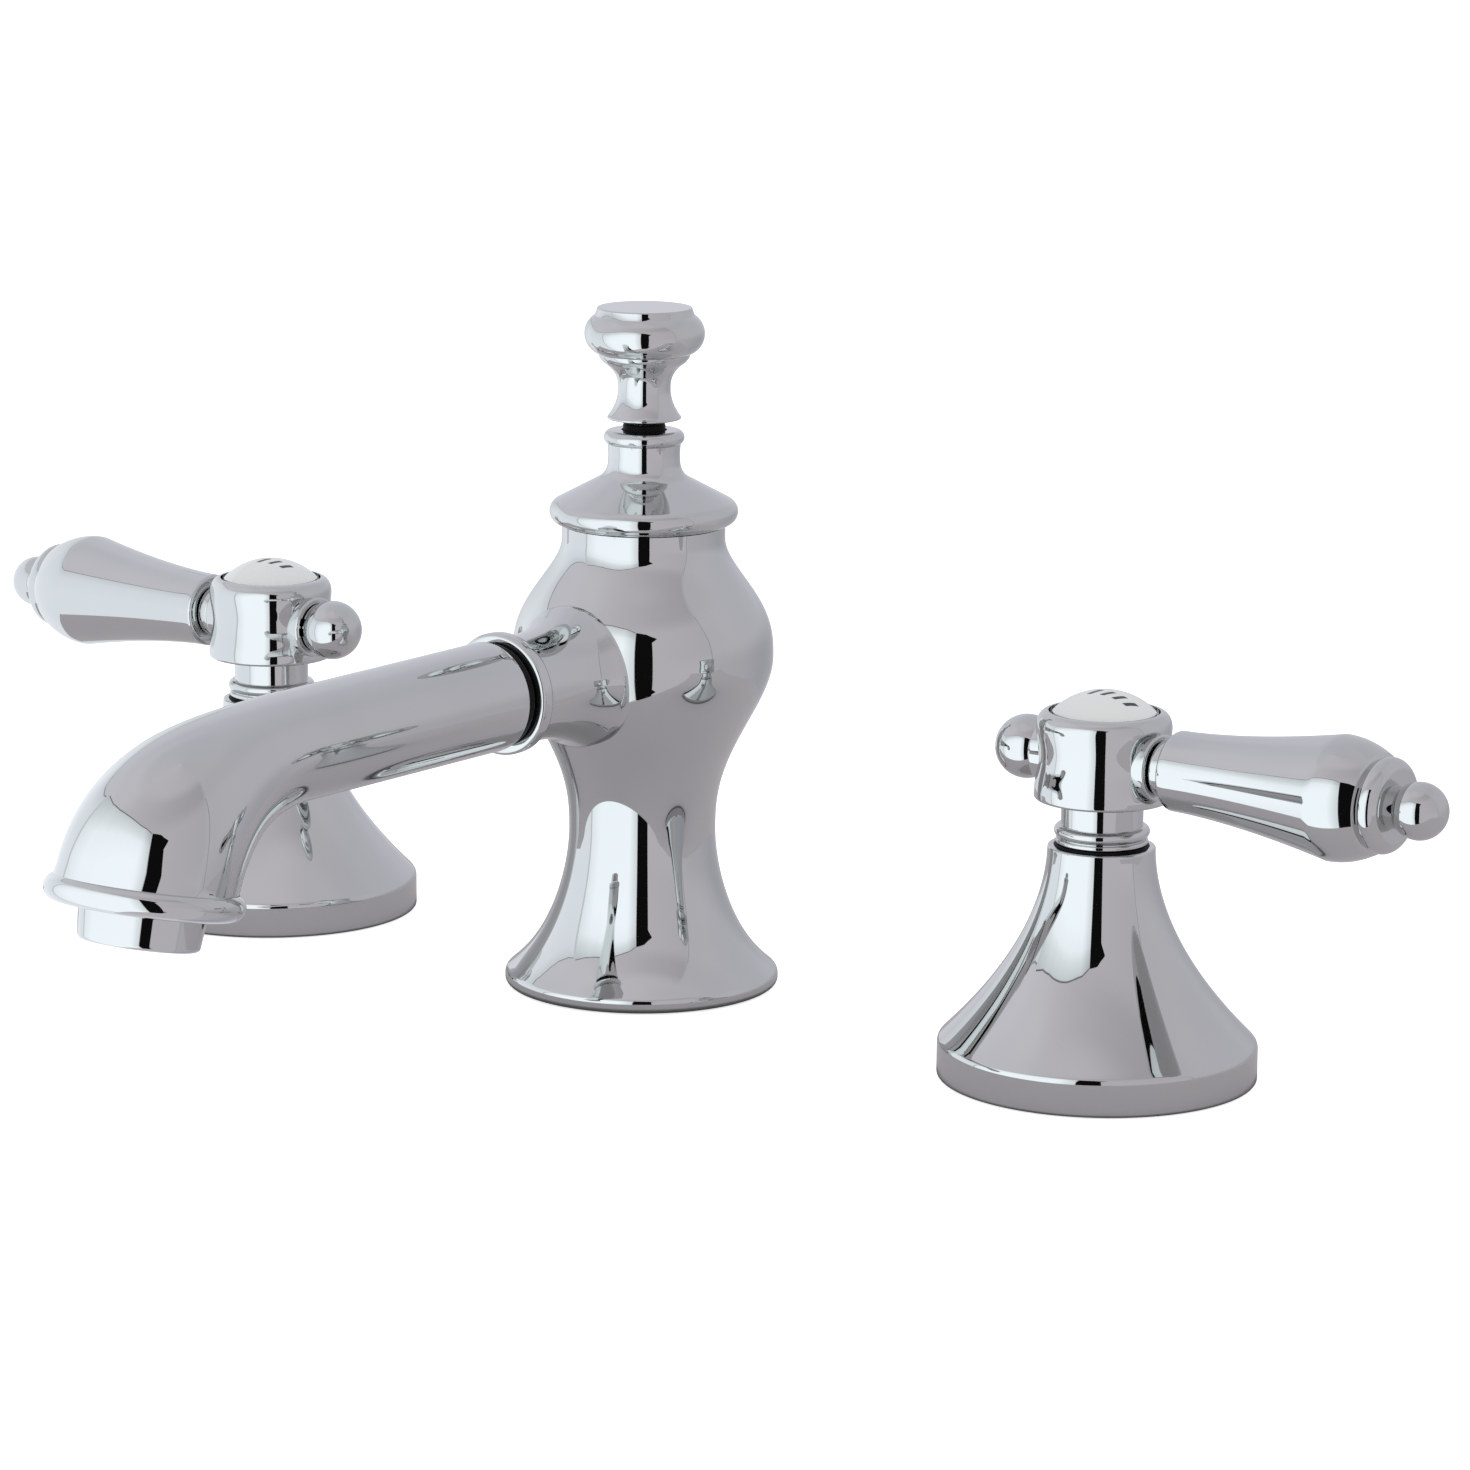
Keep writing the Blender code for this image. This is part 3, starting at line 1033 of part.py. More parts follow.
def index_button(group, axis, porcelain):
    """A spherical dome with a plug that keeps it in the hub."""
    foot = BUTTON_SEAT + SEAT_GAP
    edge = foot + BUTTON_EDGE
    dome = (BUTTON_RADIUS**2 + BUTTON_RISE**2) / (2 * BUTTON_RISE)
    rim_angle = math.degrees(math.acos(BUTTON_RADIUS / dome))
    outline = [(0, foot - BUTTON_PLUG_DEPTH), (BUTTON_PLUG_RADIUS, foot - BUTTON_PLUG_DEPTH)]
    outline += [(BUTTON_PLUG_RADIUS, foot), (BUTTON_RADIUS, foot)]
    crown = arc(0, edge + BUTTON_RISE - dome, dome, rim_angle, 90, 4)
    outline += crown[:-1] + [(0, crown[-1][1])]
    place(turned(group + "_index_button", outline, SHOWN_SIDES, porcelain), axis)


def ferrule(group, axis, side, chrome):
    radius = STUD_HOLE_RADIUS + FERRULE_WALL
    end = FERRULE_START + FERRULE_LENGTH
    outline = [
        (STUD_HOLE_RADIUS, FERRULE_START),
        (radius - FERRULE_EDGE, FERRULE_START),
        (radius, FERRULE_START + FERRULE_EDGE),
        (radius, end - FERRULE_EDGE),
        (radius - FERRULE_EDGE, end),
        (STUD_HOLE_RADIUS, end),
    ]
    made = turned(group + "_lever_ferrule", outline, HIDDEN_SIDES, chrome)
    place(made, axis, (0, 0, LEVER_HEIGHT), (0, side * math.pi / 2, 0))


def ball_outline(radius, neck_radius, neck_end):
    """Points of a ball that grows out of a neck, up to the ball's far end on the axis."""
    centre = neck_end + math.sqrt(radius**2 - neck_radius**2)
    meeting = math.degrees(math.acos(neck_radius / radius))
    ball = arc(0, centre, radius, -meeting, 90, 5)
    return ball[:-1] + [(0, ball[-1][1])]


def lever(group, axis, side, chrome):
    """Stud, grip that swells outward, bead, neck and tip ball, turned in one piece."""
    slim = (GRIP_SLIM_RADIUS, GRIP_START + GRIP_EDGE)
    full = (GRIP_FULL_RADIUS, GRIP_FULL_REACH)
    outline = [(0, STUD_START), (STUD_RADIUS, STUD_START), (STUD_RADIUS, GRIP_START)]
    outline += [(GRIP_SLIM_RADIUS - GRIP_START_INSET, GRIP_START), slim]
    outline += eased(slim, full, 4, lambda t: t**GRIP_GROWTH_POWER)
    outline += eased(full, (GRIP_END_RADIUS, GRIP_END_REACH), 2, lambda t: t * t)
    bead = LEVER_BEAD_RADIUS - LEVER_BEAD_ROUND
    outline += arc(bead, LEVER_BEAD_REACH, LEVER_BEAD_ROUND, -35, 90, 2)
    neck_start = LEVER_BEAD_REACH + LEVER_BEAD_ROUND
    outline += [(LEVER_NECK_RADIUS, neck_start)]
    outline += ball_outline(TIP_BALL_RADIUS, LEVER_NECK_RADIUS, neck_start + LEVER_NECK_LENGTH)
    made = turned(group + "_lever", outline, SHOWN_SIDES, chrome)
    place(made, axis, (0, 0, LEVER_HEIGHT), (0, side * math.pi / 2, 0))


def ball_finial(group, axis, side, chrome):
    outline = [(0, STUD_START), (STUD_RADIUS, STUD_START), (STUD_RADIUS, FERRULE_START)]
    outline += [(BALL_NECK_RADIUS, FERRULE_START)]
    outline += ball_outline(BALL_RADIUS, BALL_NECK_RADIUS, FERRULE_START + BALL_NECK_LENGTH)
    made = turned(group + "_ball_finial", outline, SHOWN_SIDES, chrome)
    place(made, axis, (0, 0, LEVER_HEIGHT), (0, side * math.pi / 2, 0))


def valve_set(group, x, outward, finishes):
    """Everything at one valve: the fixed pieces, and the handle that turns about its axis."""
    chrome, brass, steel, porcelain, ceramic, rubber = finishes
    valve_axis = axis_empty(group + "_valve_place", (x, 0, 0))
    handle_axis = axis_empty(group + "_handle_axis", (x, 0, 0))
    valve_body(group, valve_axis, -outward, brass)
    thread_bore = BARREL_RADIUS + SEAT_GAP
    ring_nut(group + "_locknut", valve_axis, thread_bore, LOCKNUT_WIDTH, SEAT_GAP, LOCKNUT_TOP, brass)
    clamp_pieces(group, valve_axis, BARREL_RADIUS, steel, rubber, brass)
    cartridge(group, valve_axis, handle_axis, brass, ceramic, rubber)
    escutcheon(group, valve_axis, chrome)
    glide_ring(group, valve_axis, rubber)
    stem(group, handle_axis, brass)
    handle_collar(group, handle_axis, chrome)
    hub(group, handle_axis, chrome)
    handle_screw(group, handle_axis, steel)
    index_button(group, handle_axis, porcelain)
    ferrule(group, handle_axis, outward, chrome)
    lever(group, handle_axis, outward, chrome)
    ball_finial(group, handle_axis, -outward, chrome)


def spout_set(finishes):
    chrome, brass, steel, plastic, rubber = finishes
    spout_axis = axis_empty("spout_place", (0, 0, 0))
    rod_axis = axis_empty("lift_rod_axis", (0, 0, 0))
    spout_body(spout_axis, chrome)
    body_lid(spout_axis, chrome)
    rod_bush(spout_axis, rubber)
    lift_rod(rod_axis, chrome)
    lift_knob(rod_axis, chrome)
    spout_collar(spout_axis, chrome)
    spout_seal(spout_axis, rubber)
    spout_tube(spout_axis, chrome)
    aerator(spout_axis, chrome, plastic, rubber)
    spout_mounting(spout_axis, brass, rubber)
    riser_pipe(spout_axis, brass)
    inlet_tee(spout_axis, brass)
    clamp_pieces("spout", spout_axis, SHANK_RADIUS, steel, rubber, brass)


def main():
    clear_scene()
    chrome = finish("chrome", (0.78, 0.78, 0.80), 1.0, 0.05)
    brass = finish("brass", (0.72, 0.55, 0.30), 1.0, 0.35)
    steel = finish("steel", (0.60, 0.60, 0.61), 1.0, 0.30)
    porcelain = finish("porcelain", (0.88, 0.89, 0.88), 0.0, 0.12)
    ceramic = finish("ceramic", (0.85, 0.82, 0.76), 0.0, 0.30)
    plastic = finish("white_plastic", (0.82, 0.83, 0.82), 0.0, 0.45)
    rubber = finish("black_rubber", (0.02, 0.02, 0.02), 0.0, 0.60)
    spout_set((chrome, brass, steel, plastic, rubber))
    valve_set("hot", HOT_X, -1, (chrome, brass, steel, porcelain, ceramic, rubber))
    valve_set("cold", COLD_X, 1, (chrome, brass, steel, porcelain, ceramic, rubber))


main()
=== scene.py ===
import json
import math

import bpy
from mathutils import Matrix, Vector

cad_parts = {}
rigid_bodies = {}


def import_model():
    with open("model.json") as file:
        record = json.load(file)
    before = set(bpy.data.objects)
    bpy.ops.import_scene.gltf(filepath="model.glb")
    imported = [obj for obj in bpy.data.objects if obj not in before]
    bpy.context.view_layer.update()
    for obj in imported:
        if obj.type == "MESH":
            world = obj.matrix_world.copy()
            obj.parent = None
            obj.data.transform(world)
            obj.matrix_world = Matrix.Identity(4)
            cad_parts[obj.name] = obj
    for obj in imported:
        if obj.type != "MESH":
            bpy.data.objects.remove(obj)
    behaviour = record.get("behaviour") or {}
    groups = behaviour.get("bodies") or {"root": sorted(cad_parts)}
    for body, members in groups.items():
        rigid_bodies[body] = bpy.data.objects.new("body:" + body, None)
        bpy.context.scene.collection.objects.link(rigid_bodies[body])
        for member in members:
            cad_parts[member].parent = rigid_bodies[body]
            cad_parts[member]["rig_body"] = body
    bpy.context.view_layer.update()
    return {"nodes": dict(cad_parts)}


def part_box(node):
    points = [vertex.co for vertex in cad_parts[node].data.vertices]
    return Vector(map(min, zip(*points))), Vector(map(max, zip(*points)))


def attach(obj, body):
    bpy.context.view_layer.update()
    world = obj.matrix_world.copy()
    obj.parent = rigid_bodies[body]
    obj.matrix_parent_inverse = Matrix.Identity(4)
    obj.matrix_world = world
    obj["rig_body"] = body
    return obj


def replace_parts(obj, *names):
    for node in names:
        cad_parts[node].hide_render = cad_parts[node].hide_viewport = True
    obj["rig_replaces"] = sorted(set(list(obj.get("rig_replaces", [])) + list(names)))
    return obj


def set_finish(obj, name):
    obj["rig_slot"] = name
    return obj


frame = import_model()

print("frame loaded:", len(frame["nodes"]), "nodes")


# drawing helpers


def middleOf(node):
    low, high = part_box(node)
    return (low + high) / 2


def addPrimitive(kind, name, **settings):
    bpy.ops.object.select_all(action="DESELECT")
    getattr(bpy.ops.mesh, "primitive_" + kind + "_add")(**settings)
    piece = bpy.context.active_object
    piece.name = name
    bpy.ops.object.mode_set(mode="EDIT")
    bpy.ops.mesh.select_all(action="SELECT")
    return piece


def closeMesh(piece, finish, sharpAngle=32):
    bpy.ops.mesh.select_all(action="SELECT")
    bpy.ops.mesh.remove_doubles(threshold=1e-6)
    bpy.ops.mesh.normals_make_consistent(inside=False)
    bpy.ops.object.mode_set(mode="OBJECT")
    bpy.ops.object.transform_apply(location=True, rotation=True, scale=True)
    bpy.ops.object.shade_smooth_by_angle(angle=math.radians(sharpAngle))
    piece.data.materials.clear()
    piece.data.materials.append(finish)
    return piece


def drawOutline(name, spots):
    # one point, drawn out along the outline
    piece = addPrimitive("plane", name, size=0.001, location=spots[0])
    bpy.ops.mesh.merge(type="CENTER")
    for before, after in zip(spots, spots[1:]):
        bpy.ops.mesh.extrude_region_move(TRANSFORM_OT_translate={"value": after - before})
    bpy.ops.mesh.select_all(action="SELECT")
    return piece


def turn(name, outline, base, finish, along=(0, 0, 1), outward=(1, 0, 0), steps=128, sharpAngle=32):
    # spins an outline of (radius, height) points round the line through base
    base, along, outward = Vector(base), Vector(along), Vector(outward)
    if outline[0][0] > 0 or outline[-1][0] > 0:
        outline = outline + outline[:1]
    spots = [base + outward * radius + along * height for radius, height in outline]
    piece = drawOutline(name, spots)
    bpy.ops.mesh.spin(steps=steps, angle=math.tau, center=base, axis=along)
    return closeMesh(piece, finish, sharpAngle)


def smooth(t):
    return t * t * (3 - 2 * t)


def flow(start, end, steps, shareAt):
    # points after start up to end: heights in equal steps, radii by the curve shareAt
    spots = []
    for step in range(1, steps + 1):
        t = step / steps
        radius = start[0] + (end[0] - start[0]) * shareAt(t)
        spots.append((radius, start[1] + (end[1] - start[1]) * t))
    return spots


def bow(radius, height, bend, first, last, steps):
    # points of an arc about (radius, height), its angles in degrees
    spots = []
    for step in range(steps + 1):
        angle = math.radians(first + (last - first) * step / steps)
        spots.append((radius + bend * math.cos(angle), height + bend * math.sin(angle)))
    return spots


def rounded(corners, steps=6, support=0.4):
    # (radius, height, bend) corners: each bend becomes an arc with a held edge on both sides
    spots = []
    for index, corner in enumerate(corners):
        spot = Vector(corner[:2])
        bend = corner[2] if len(corner) > 2 else 0
        if not bend:
            spots.append(tuple(spot))
            continue
        before = (Vector(corners[index - 1][:2]) - spot).normalized()
        after = (Vector(corners[(index + 1) % len(corners)][:2]) - spot).normalized()
        half = before.angle(after) / 2
        reach = bend / math.tan(half)
        centre = spot + (before + after).normalized() * bend / math.sin(half)
        first = spot + before * reach - centre
        last = spot + after * reach - centre
        begin = math.atan2(first.y, first.x)
        sweep = (math.atan2(last.y, last.x) - begin + math.pi) % math.tau - math.pi
        spots.append(tuple(spot + before * (reach + bend * support)))
        for step in range(steps + 1):
            angle = begin + sweep * step / steps
            spots.append((centre.x + bend * math.cos(angle), centre.y + bend * math.sin(angle)))
        spots.append(tuple(spot + after * (reach + bend * support)))
    return spots


def ride(piece, body, slot, *nodes):
    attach(piece, body)
    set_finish(piece, slot)
    if nodes:
        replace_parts(piece, *nodes)
    return piece


def combine(piece, tool, operation):
    # Boolean with a tool that goes afterwards
    bpy.ops.object.select_all(action="DESELECT")
    bpy.context.view_layer.objects.active = piece
    piece.select_set(True)
    modifier = piece.modifiers.new(operation.lower(), "BOOLEAN")
    modifier.operation = operation
    modifier.solver = "EXACT"
    modifier.object = tool
    bpy.ops.object.modifier_apply(modifier=modifier.name)
    bpy.data.objects.remove(tool)
    return piece


def copyTurned(piece, name, shift, axis):
    # a copy with its own mesh, turned half round the vertical line through axis and moved
    bpy.ops.object.select_all(action="DESELECT")
    bpy.context.view_layer.objects.active = piece
    piece.select_set(True)
    bpy.ops.object.duplicate(linked=False)
    copy = bpy.context.active_object
    copy.name = name
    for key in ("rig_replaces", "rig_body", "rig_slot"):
        if key in copy:
            del copy[key]
    copy.parent = None
    bpy.ops.object.mode_set(mode="EDIT")
    bpy.ops.mesh.select_all(action="SELECT")
    bpy.ops.transform.rotate(value=math.pi, orient_axis="Z", center_override=axis)
    bpy.ops.transform.translate(value=shift)
    bpy.ops.object.mode_set(mode="OBJECT")
    return copy


# shader helpers: each adds a node and returns its output


def addMath(tree, operation, *values, clamp=False):
    node = tree.nodes.new("ShaderNodeMath")
    node.operation = operation
    node.use_clamp = clamp
    for socket, value in zip(node.inputs, values):
        if isinstance(value, (int, float)):
            socket.default_value = value
        else:
            tree.links.new(value, socket)
    return node.outputs["Value"]


def addRamp(tree, value, stops):
    # stops: (place, colour)
    ramp = tree.nodes.new("ShaderNodeValToRGB")
    elements = ramp.color_ramp.elements
    for index, (place, colour) in enumerate(stops):
        stop = elements[index] if index < 2 else elements.new(place)
        stop.position = place
        stop.color = (*colour, 1)
    tree.links.new(value, ramp.inputs["Fac"])
    return ramp.outputs["Color"]


def addRange(tree, value, start, end, low=0, high=1, kind="LINEAR"):
    node = tree.nodes.new("ShaderNodeMapRange")
    node.interpolation_type = kind
    limits = {"From Min": start, "From Max": end, "To Min": low, "To Max": high}
    for socket, limit in limits.items():
        node.inputs[socket].default_value = limit
    tree.links.new(value, node.inputs["Value"])
    return node.outputs["Result"]


def addBlend(tree, share, first, second):
    # first and second are colours or outputs
    node = tree.nodes.new("ShaderNodeMix")
    node.data_type = "RGBA"
    tree.links.new(share, node.inputs["Factor"])
    for socket, colour in (("A", first), ("B", second)):
        if isinstance(colour, tuple):
            node.inputs[socket].default_value = (*colour, 1)
        else:
            tree.links.new(colour, node.inputs[socket])
    return node.outputs["Result"]


# finishes: each reads Object coordinates


def makeFinish(name, look):
    finish = bpy.data.materials.new(name)
    finish.use_nodes = True
    tree = finish.node_tree
    nodes, links = tree.nodes, tree.links
    shader = nodes["Principled BSDF"]
    shader.inputs["Metallic"].default_value = look["metallic"]
    shader.inputs["IOR"].default_value = look.get("ior", 1.5)
    shader.inputs["Coat Weight"].default_value = look.get("coat", 0)
    shader.inputs["Coat Roughness"].default_value = look.get("coatRoughness", 0.03)
    where = nodes.new("ShaderNodeTexCoord")
    stretch = look.get("stretch", (1, 1, 1))

    def cloud(scale, detail, stretch):
        mapping = nodes.new("ShaderNodeMapping")
        mapping.inputs["Scale"].default_value = stretch
        texture = nodes.new("ShaderNodeTexNoise")
        texture.inputs["Scale"].default_value = scale
        texture.inputs["Detail"].default_value = detail
        links.new(where.outputs["Object"], mapping.inputs["Vector"])
        links.new(mapping.outputs["Vector"], texture.inputs["Vector"])
        return texture.outputs["Fac"]

    tone = cloud(look["toneScale"], 3, (1, 1, 1))
    colour = addRamp(tree, tone, [(0.35, look["dark"]), (0.65, look["light"])])
    links.new(colour, shader.inputs["Base Color"])

    wear = cloud(look["wearScale"], 4, stretch)
    roughness = addRange(tree, wear, 0.3, 0.7, look["smoothest"], look["roughest"])
    links.new(roughness, shader.inputs["Roughness"])

    relief = nodes.new("ShaderNodeBump")
    relief.inputs["Strength"].default_value = look["relief"]
    relief.inputs["Distance"].default_value = look["reliefDepth"]
    links.new(cloud(look["reliefScale"], 2, stretch), relief.inputs["Height"])
    links.new(relief.outputs["Normal"], shader.inputs["Normal"])
    return finish


looks = {
    "chrome": {
        "light": (0.625, 0.64, 0.635), "dark": (0.60, 0.615, 0.61), "toneScale": 30,
        "metallic": 1, "smoothest": 0.012, "roughest": 0.04, "wearScale": 55,
        "relief": 0.05, "reliefDepth": 0.00002, "reliefScale": 90,
    },
    "porcelain": {
        "light": (0.81, 0.83, 0.825), "dark": (0.79, 0.81, 0.805), "toneScale": 120,
        "metallic": 0, "ior": 1.52, "smoothest": 0.06, "roughest": 0.12, "wearScale": 160,
        "relief": 0.05, "reliefDepth": 0.00003, "reliefScale": 300, "coat": 0.5,
    },
    "rubber": {
        "light": (0.012, 0.012, 0.013), "dark": (0.006, 0.006, 0.006), "toneScale": 200,
        "metallic": 0, "ior": 1.14, "smoothest": 0.36, "roughest": 0.48, "wearScale": 300,
        "relief": 0.25, "reliefDepth": 0.00005, "reliefScale": 1500,
    },
    "brass": {
        "light": (0.74, 0.58, 0.32), "dark": (0.62, 0.46, 0.22), "toneScale": 60,
        "metallic": 1, "smoothest": 0.22, "roughest": 0.42, "wearScale": 120,
        "relief": 0.2, "reliefDepth": 0.00005, "reliefScale": 700,
    },
    "steel": {
        "light": (0.62, 0.62, 0.63), "dark": (0.50, 0.50, 0.51), "toneScale": 80,
        "metallic": 1, "smoothest": 0.22, "roughest": 0.38, "wearScale": 200,
        "relief": 0.15, "reliefDepth": 0.00004, "reliefScale": 900, "stretch": (1, 1, 12),
    },
    "ceramic": {
        "light": (0.86, 0.83, 0.77), "dark": (0.80, 0.77, 0.71), "toneScale": 300,
        "metallic": 0, "ior": 1.6, "smoothest": 0.25, "roughest": 0.35, "wearScale": 500,
        "relief": 0.1, "reliefDepth": 0.00002, "reliefScale": 2000,
    },
    "plastic": {
        "light": (0.82, 0.83, 0.82), "dark": (0.76, 0.77, 0.76), "toneScale": 250,
        "metallic": 0, "ior": 1.46, "smoothest": 0.38, "roughest": 0.5, "wearScale": 400,
        "relief": 0.15, "reliefDepth": 0.00003, "reliefScale": 1200,
    },
    "enamel": {
        "light": (0.045, 0.045, 0.05), "dark": (0.025, 0.025, 0.03), "toneScale": 400,
        "metallic": 0, "ior": 1.5, "smoothest": 0.2, "roughest": 0.3, "wearScale": 500,
        "relief": 0.1, "reliefDepth": 0.00002, "reliefScale": 2000,
    },
}
finishes = {name: makeFinish(name + "Finish", look) for name, look in looks.items()}
chrome, rubber, porcelain = finishes["chrome"], finishes["rubber"], finishes["porcelain"]
print("finishes made:", ", ".join(finishes))


# camera: 1470 x 1470 frame, long lens from the front right

cameraSet = {
    "azimuth": 37.865, "elevation": 12.120, "roll": 0.483,
    "distance": 1.077138, "aside": 0.017725, "above": 0.047615, "lens": 136.03,
}
azimuth, elevation = math.radians(cameraSet["azimuth"]), math.radians(cameraSet["elevation"])
backward = Vector((
    math.sin(azimuth) * math.cos(elevation), -math.cos(azimuth) * math.cos(elevation),
    math.sin(elevation),
))
level = Vector((math.cos(azimuth), math.sin(azimuth), 0))
upright = backward.cross(level)
rolled = math.radians(cameraSet["roll"])
cameraX = level * math.cos(rolled) + upright * math.sin(rolled)
cameraY = upright * math.cos(rolled) - level * math.sin(rolled)
stand = level * cameraSet["aside"] + upright * cameraSet["above"] + backward * cameraSet["distance"]
bpy.ops.object.camera_add(location=stand)
camera = bpy.context.active_object
camera.name = "studioCamera"
camera.data.lens = cameraSet["lens"]
camera.data.sensor_width = 36
camera.data.dof.use_dof = False
camera.data.clip_start = 0.05
camera.data.clip_end = 100
turned = Matrix((cameraX, cameraY, backward)).transposed()
camera.rotation_euler = turned.to_euler()
bpy.context.scene.camera = camera
front = Vector((backward.x, backward.y, 0)).normalized()
print("camera placed")


# spout body, lid, knob and rod

spoutAxis = middleOf("lift_rod").xy.to_3d()

vaseSizes = {
    "foot": 0.0264, "footHeight": 0.0034, "footEdge": 0.0016, "footRound": 0.0012,
    "footWall": 0.0018, "flareStart": (0.02581, 0.00304), "flareTurn": 51,
    "waist": (0.0141, 0.0305), "bulb": (0.0250, 0.0643), "neck": (0.0156, 0.0871), "top": 0.0897,
    "flarePowers": (6, 1.85), "flareShare": 0.245, "swellPower": 1.3, "neckPower": 1.38,
    "wall": 0.0022, "floor": 0.0080, "floorGap": 0.0010, "recess": (0.0220, 0.0020),
    "shankHole": 0.0140, "outsideSteps": 36, "insideSteps": 10,
}


def vaseSide(steps):
    v = vaseSizes

    def flare(t):
        steep, long = ((1 - t) ** power for power in v["flarePowers"])
        return 1 - long + (long - steep) * v["flareShare"]

    side = [v["flareStart"]] + flow(v["flareStart"], v["waist"], steps, flare)
    side += flow(v["waist"], v["bulb"], steps, lambda t: smooth(t ** v["swellPower"]))
    side += flow(v["bulb"], v["neck"], steps, lambda t: smooth(t ** v["neckPower"]))
    return side


def makeVase():
    v = vaseSizes
    edge = v["footEdge"]
    outline = rounded([
        (v["recess"][0], 0), (v["foot"], 0, v["footRound"]), (v["foot"], v["footWall"]),
    ])[:-1]
    outline += bow(v["foot"] - edge, v["footHeight"] - edge, edge, 0, v["flareTurn"], 7)
    outline += vaseSide(v["outsideSteps"])[1:]
    lowest = v["floor"] + v["floorGap"]
    inside = [(r - v["wall"], z) for r, z in vaseSide(v["insideSteps"]) if z > lowest]
    outline += [(v["neck"][0], v["top"]), (inside[-1][0], v["top"])] + inside[::-1]
    outline += [(inside[0][0], v["floor"]), (v["shankHole"], v["floor"])]
    outline += [(v["shankHole"], v["recess"][1]), v["recess"]]
    vase = turn("vase", outline, spoutAxis, chrome, steps=160)
    return ride(vase, "faucet", "chrome", "spout_body")


lidSizes = {
    "foot": 0.0899, "rim": (0.0156, 0.0923), "rimRound": 0.0024, "slopeStart": 62,
    "collar": (0.00705, 0.0996), "collarBend": 0.0035, "throat": (0.00685, 0.1033), "top": 0.1079,
    "bead": 0.0077, "beadRound": 0.0014, "bushHole": 0.00435, "bushSeat": 0.1024, "rodHole": 0.0026,
    "roof": 0.0984, "spigot": 0.0131, "spigotDepth": 0.0054, "hollow": 0.0109, "hollowRise": 0.0030,
}


def makeLid():
    d = lidSizes
    bead, spigotFoot = d["beadRound"], d["foot"] - d["spigotDepth"]
    outline = bow(*d["rim"], d["rimRound"], -90, d["slopeStart"], 26)
    slope = rounded([outline[-1], d["collar"] + (d["collarBend"],), d["throat"]], steps=14)
    outline += slope[1:] + bow(d["bead"] - bead, d["top"] - bead, bead, -60, 90, 16)
    outline += [
        (d["bushHole"], d["top"]), (d["bushHole"], d["bushSeat"]), (d["rodHole"], d["bushSeat"]),
        (d["rodHole"], d["roof"]), (d["hollow"], d["foot"] + d["hollowRise"]),
        (d["hollow"], spigotFoot), (d["spigot"], spigotFoot), (d["spigot"], d["foot"]),
    ]
    lid = turn("lid", outline, spoutAxis, chrome)
    return ride(lid, "faucet", "chrome", "body_lid")


knobSizes = {
    "foot": 0.1096, "base": 0.0050, "skirt": 0.00705, "skirtHeight": 0.0007, "skirtRound": 0.0003,
    "neck": (0.0050, 0.1158), "flare": (0.0079, 0.1209), "skirtPower": 2.0, "flarePower": 2.6,
    "ledge": [(0.0086, 0.1218), (0.0087, 0.1223)],
    "bulge": 0.01145, "bulgeRound": 0.00415, "bulgeHeight": 0.1263, "bulgeArc": (-70, 58),
    "cap": 0.0091, "top": 0.1313, "capEdge": 0.0003, "socket": 0.0025, "socketTop": 0.1196,
}


def makeKnob():
    k = knobSizes
    skirt, bulge = k["skirtRound"], k["bulgeRound"]
    outline = [(k["socket"], k["foot"]), (k["base"], k["foot"])]
    outline += bow(k["skirt"] - skirt, k["foot"] + k["skirtHeight"], skirt, -60, 60, 8)
    outline += flow(outline[-1], k["neck"], 16, lambda t: 1 - (1 - t) ** k["skirtPower"])
    outline += flow(k["neck"], k["flare"], 14, lambda t: t ** k["flarePower"])
    outline += k["ledge"]
    outline += bow(k["bulge"] - bulge, k["bulgeHeight"], bulge, *k["bulgeArc"], 28)
    brim = outline[-1]
    outline += rounded([
        (k["cap"], brim[1]), (k["cap"], k["top"], k["capEdge"]), (0, k["top"]),
    ])[1:-1]
    outline += [(0, k["top"]), (0, k["socketTop"]), (k["socket"], k["socketTop"])]
    knob = turn("knob", outline, spoutAxis, chrome)
    return ride(knob, "pop_up_rod", "chrome", "lift_knob")


rodSizes = {"radius": 0.0022, "footRound": 0.0004, "topRound": 0.0002}
bushSizes = {"inner": 0.0026, "outer": 0.00405, "round": 0.0005, "holeRound": 0.0003}


def makeRodAndBush():
    r, b = rodSizes, bushSizes
    low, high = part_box("lift_rod")
    bar = rounded([
        (0, low.z), (r["radius"], low.z, r["footRound"]), (r["radius"], high.z, r["topRound"]),
        (0, high.z),
    ])
    rod = turn("rod", bar, spoutAxis, chrome, steps=48)
    ride(rod, "pop_up_rod", "chrome", "lift_rod")
    low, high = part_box("rod_bush")
    sleeve = rounded([
        (b["inner"], low.z), (b["outer"], low.z), (b["outer"], high.z, b["round"]),
        (b["inner"], high.z, b["holeRound"]),
    ])
    bush = turn("bush", sleeve, spoutAxis, rubber, steps=64)
    ride(bush, "faucet", "black_seal", "rod_bush")


makeVase()
makeLid()
makeKnob()
makeRodAndBush()
print("body, lid, rod and knob made")


# spout: collar, seal, tube and aerator, all along -Y

spoutHeight = 0.0633
forward, sideways = Vector((0, -1, 0)), Vector((1, 0, 0))
spoutBase = spoutAxis + Vector((0, 0, spoutHeight))

collarSizes = {
    "start": 0.0185, "flange": (0.0135, 0.0217), "neck": (0.0101, 0.0385), "flarePower": 3.0,
    "ring": 0.0115, "ringStart": 0.0401, "reach": 0.0433, "ringRound": 0.0009, "bore": 0.0082,
    "neckHold": 0.0002,
}


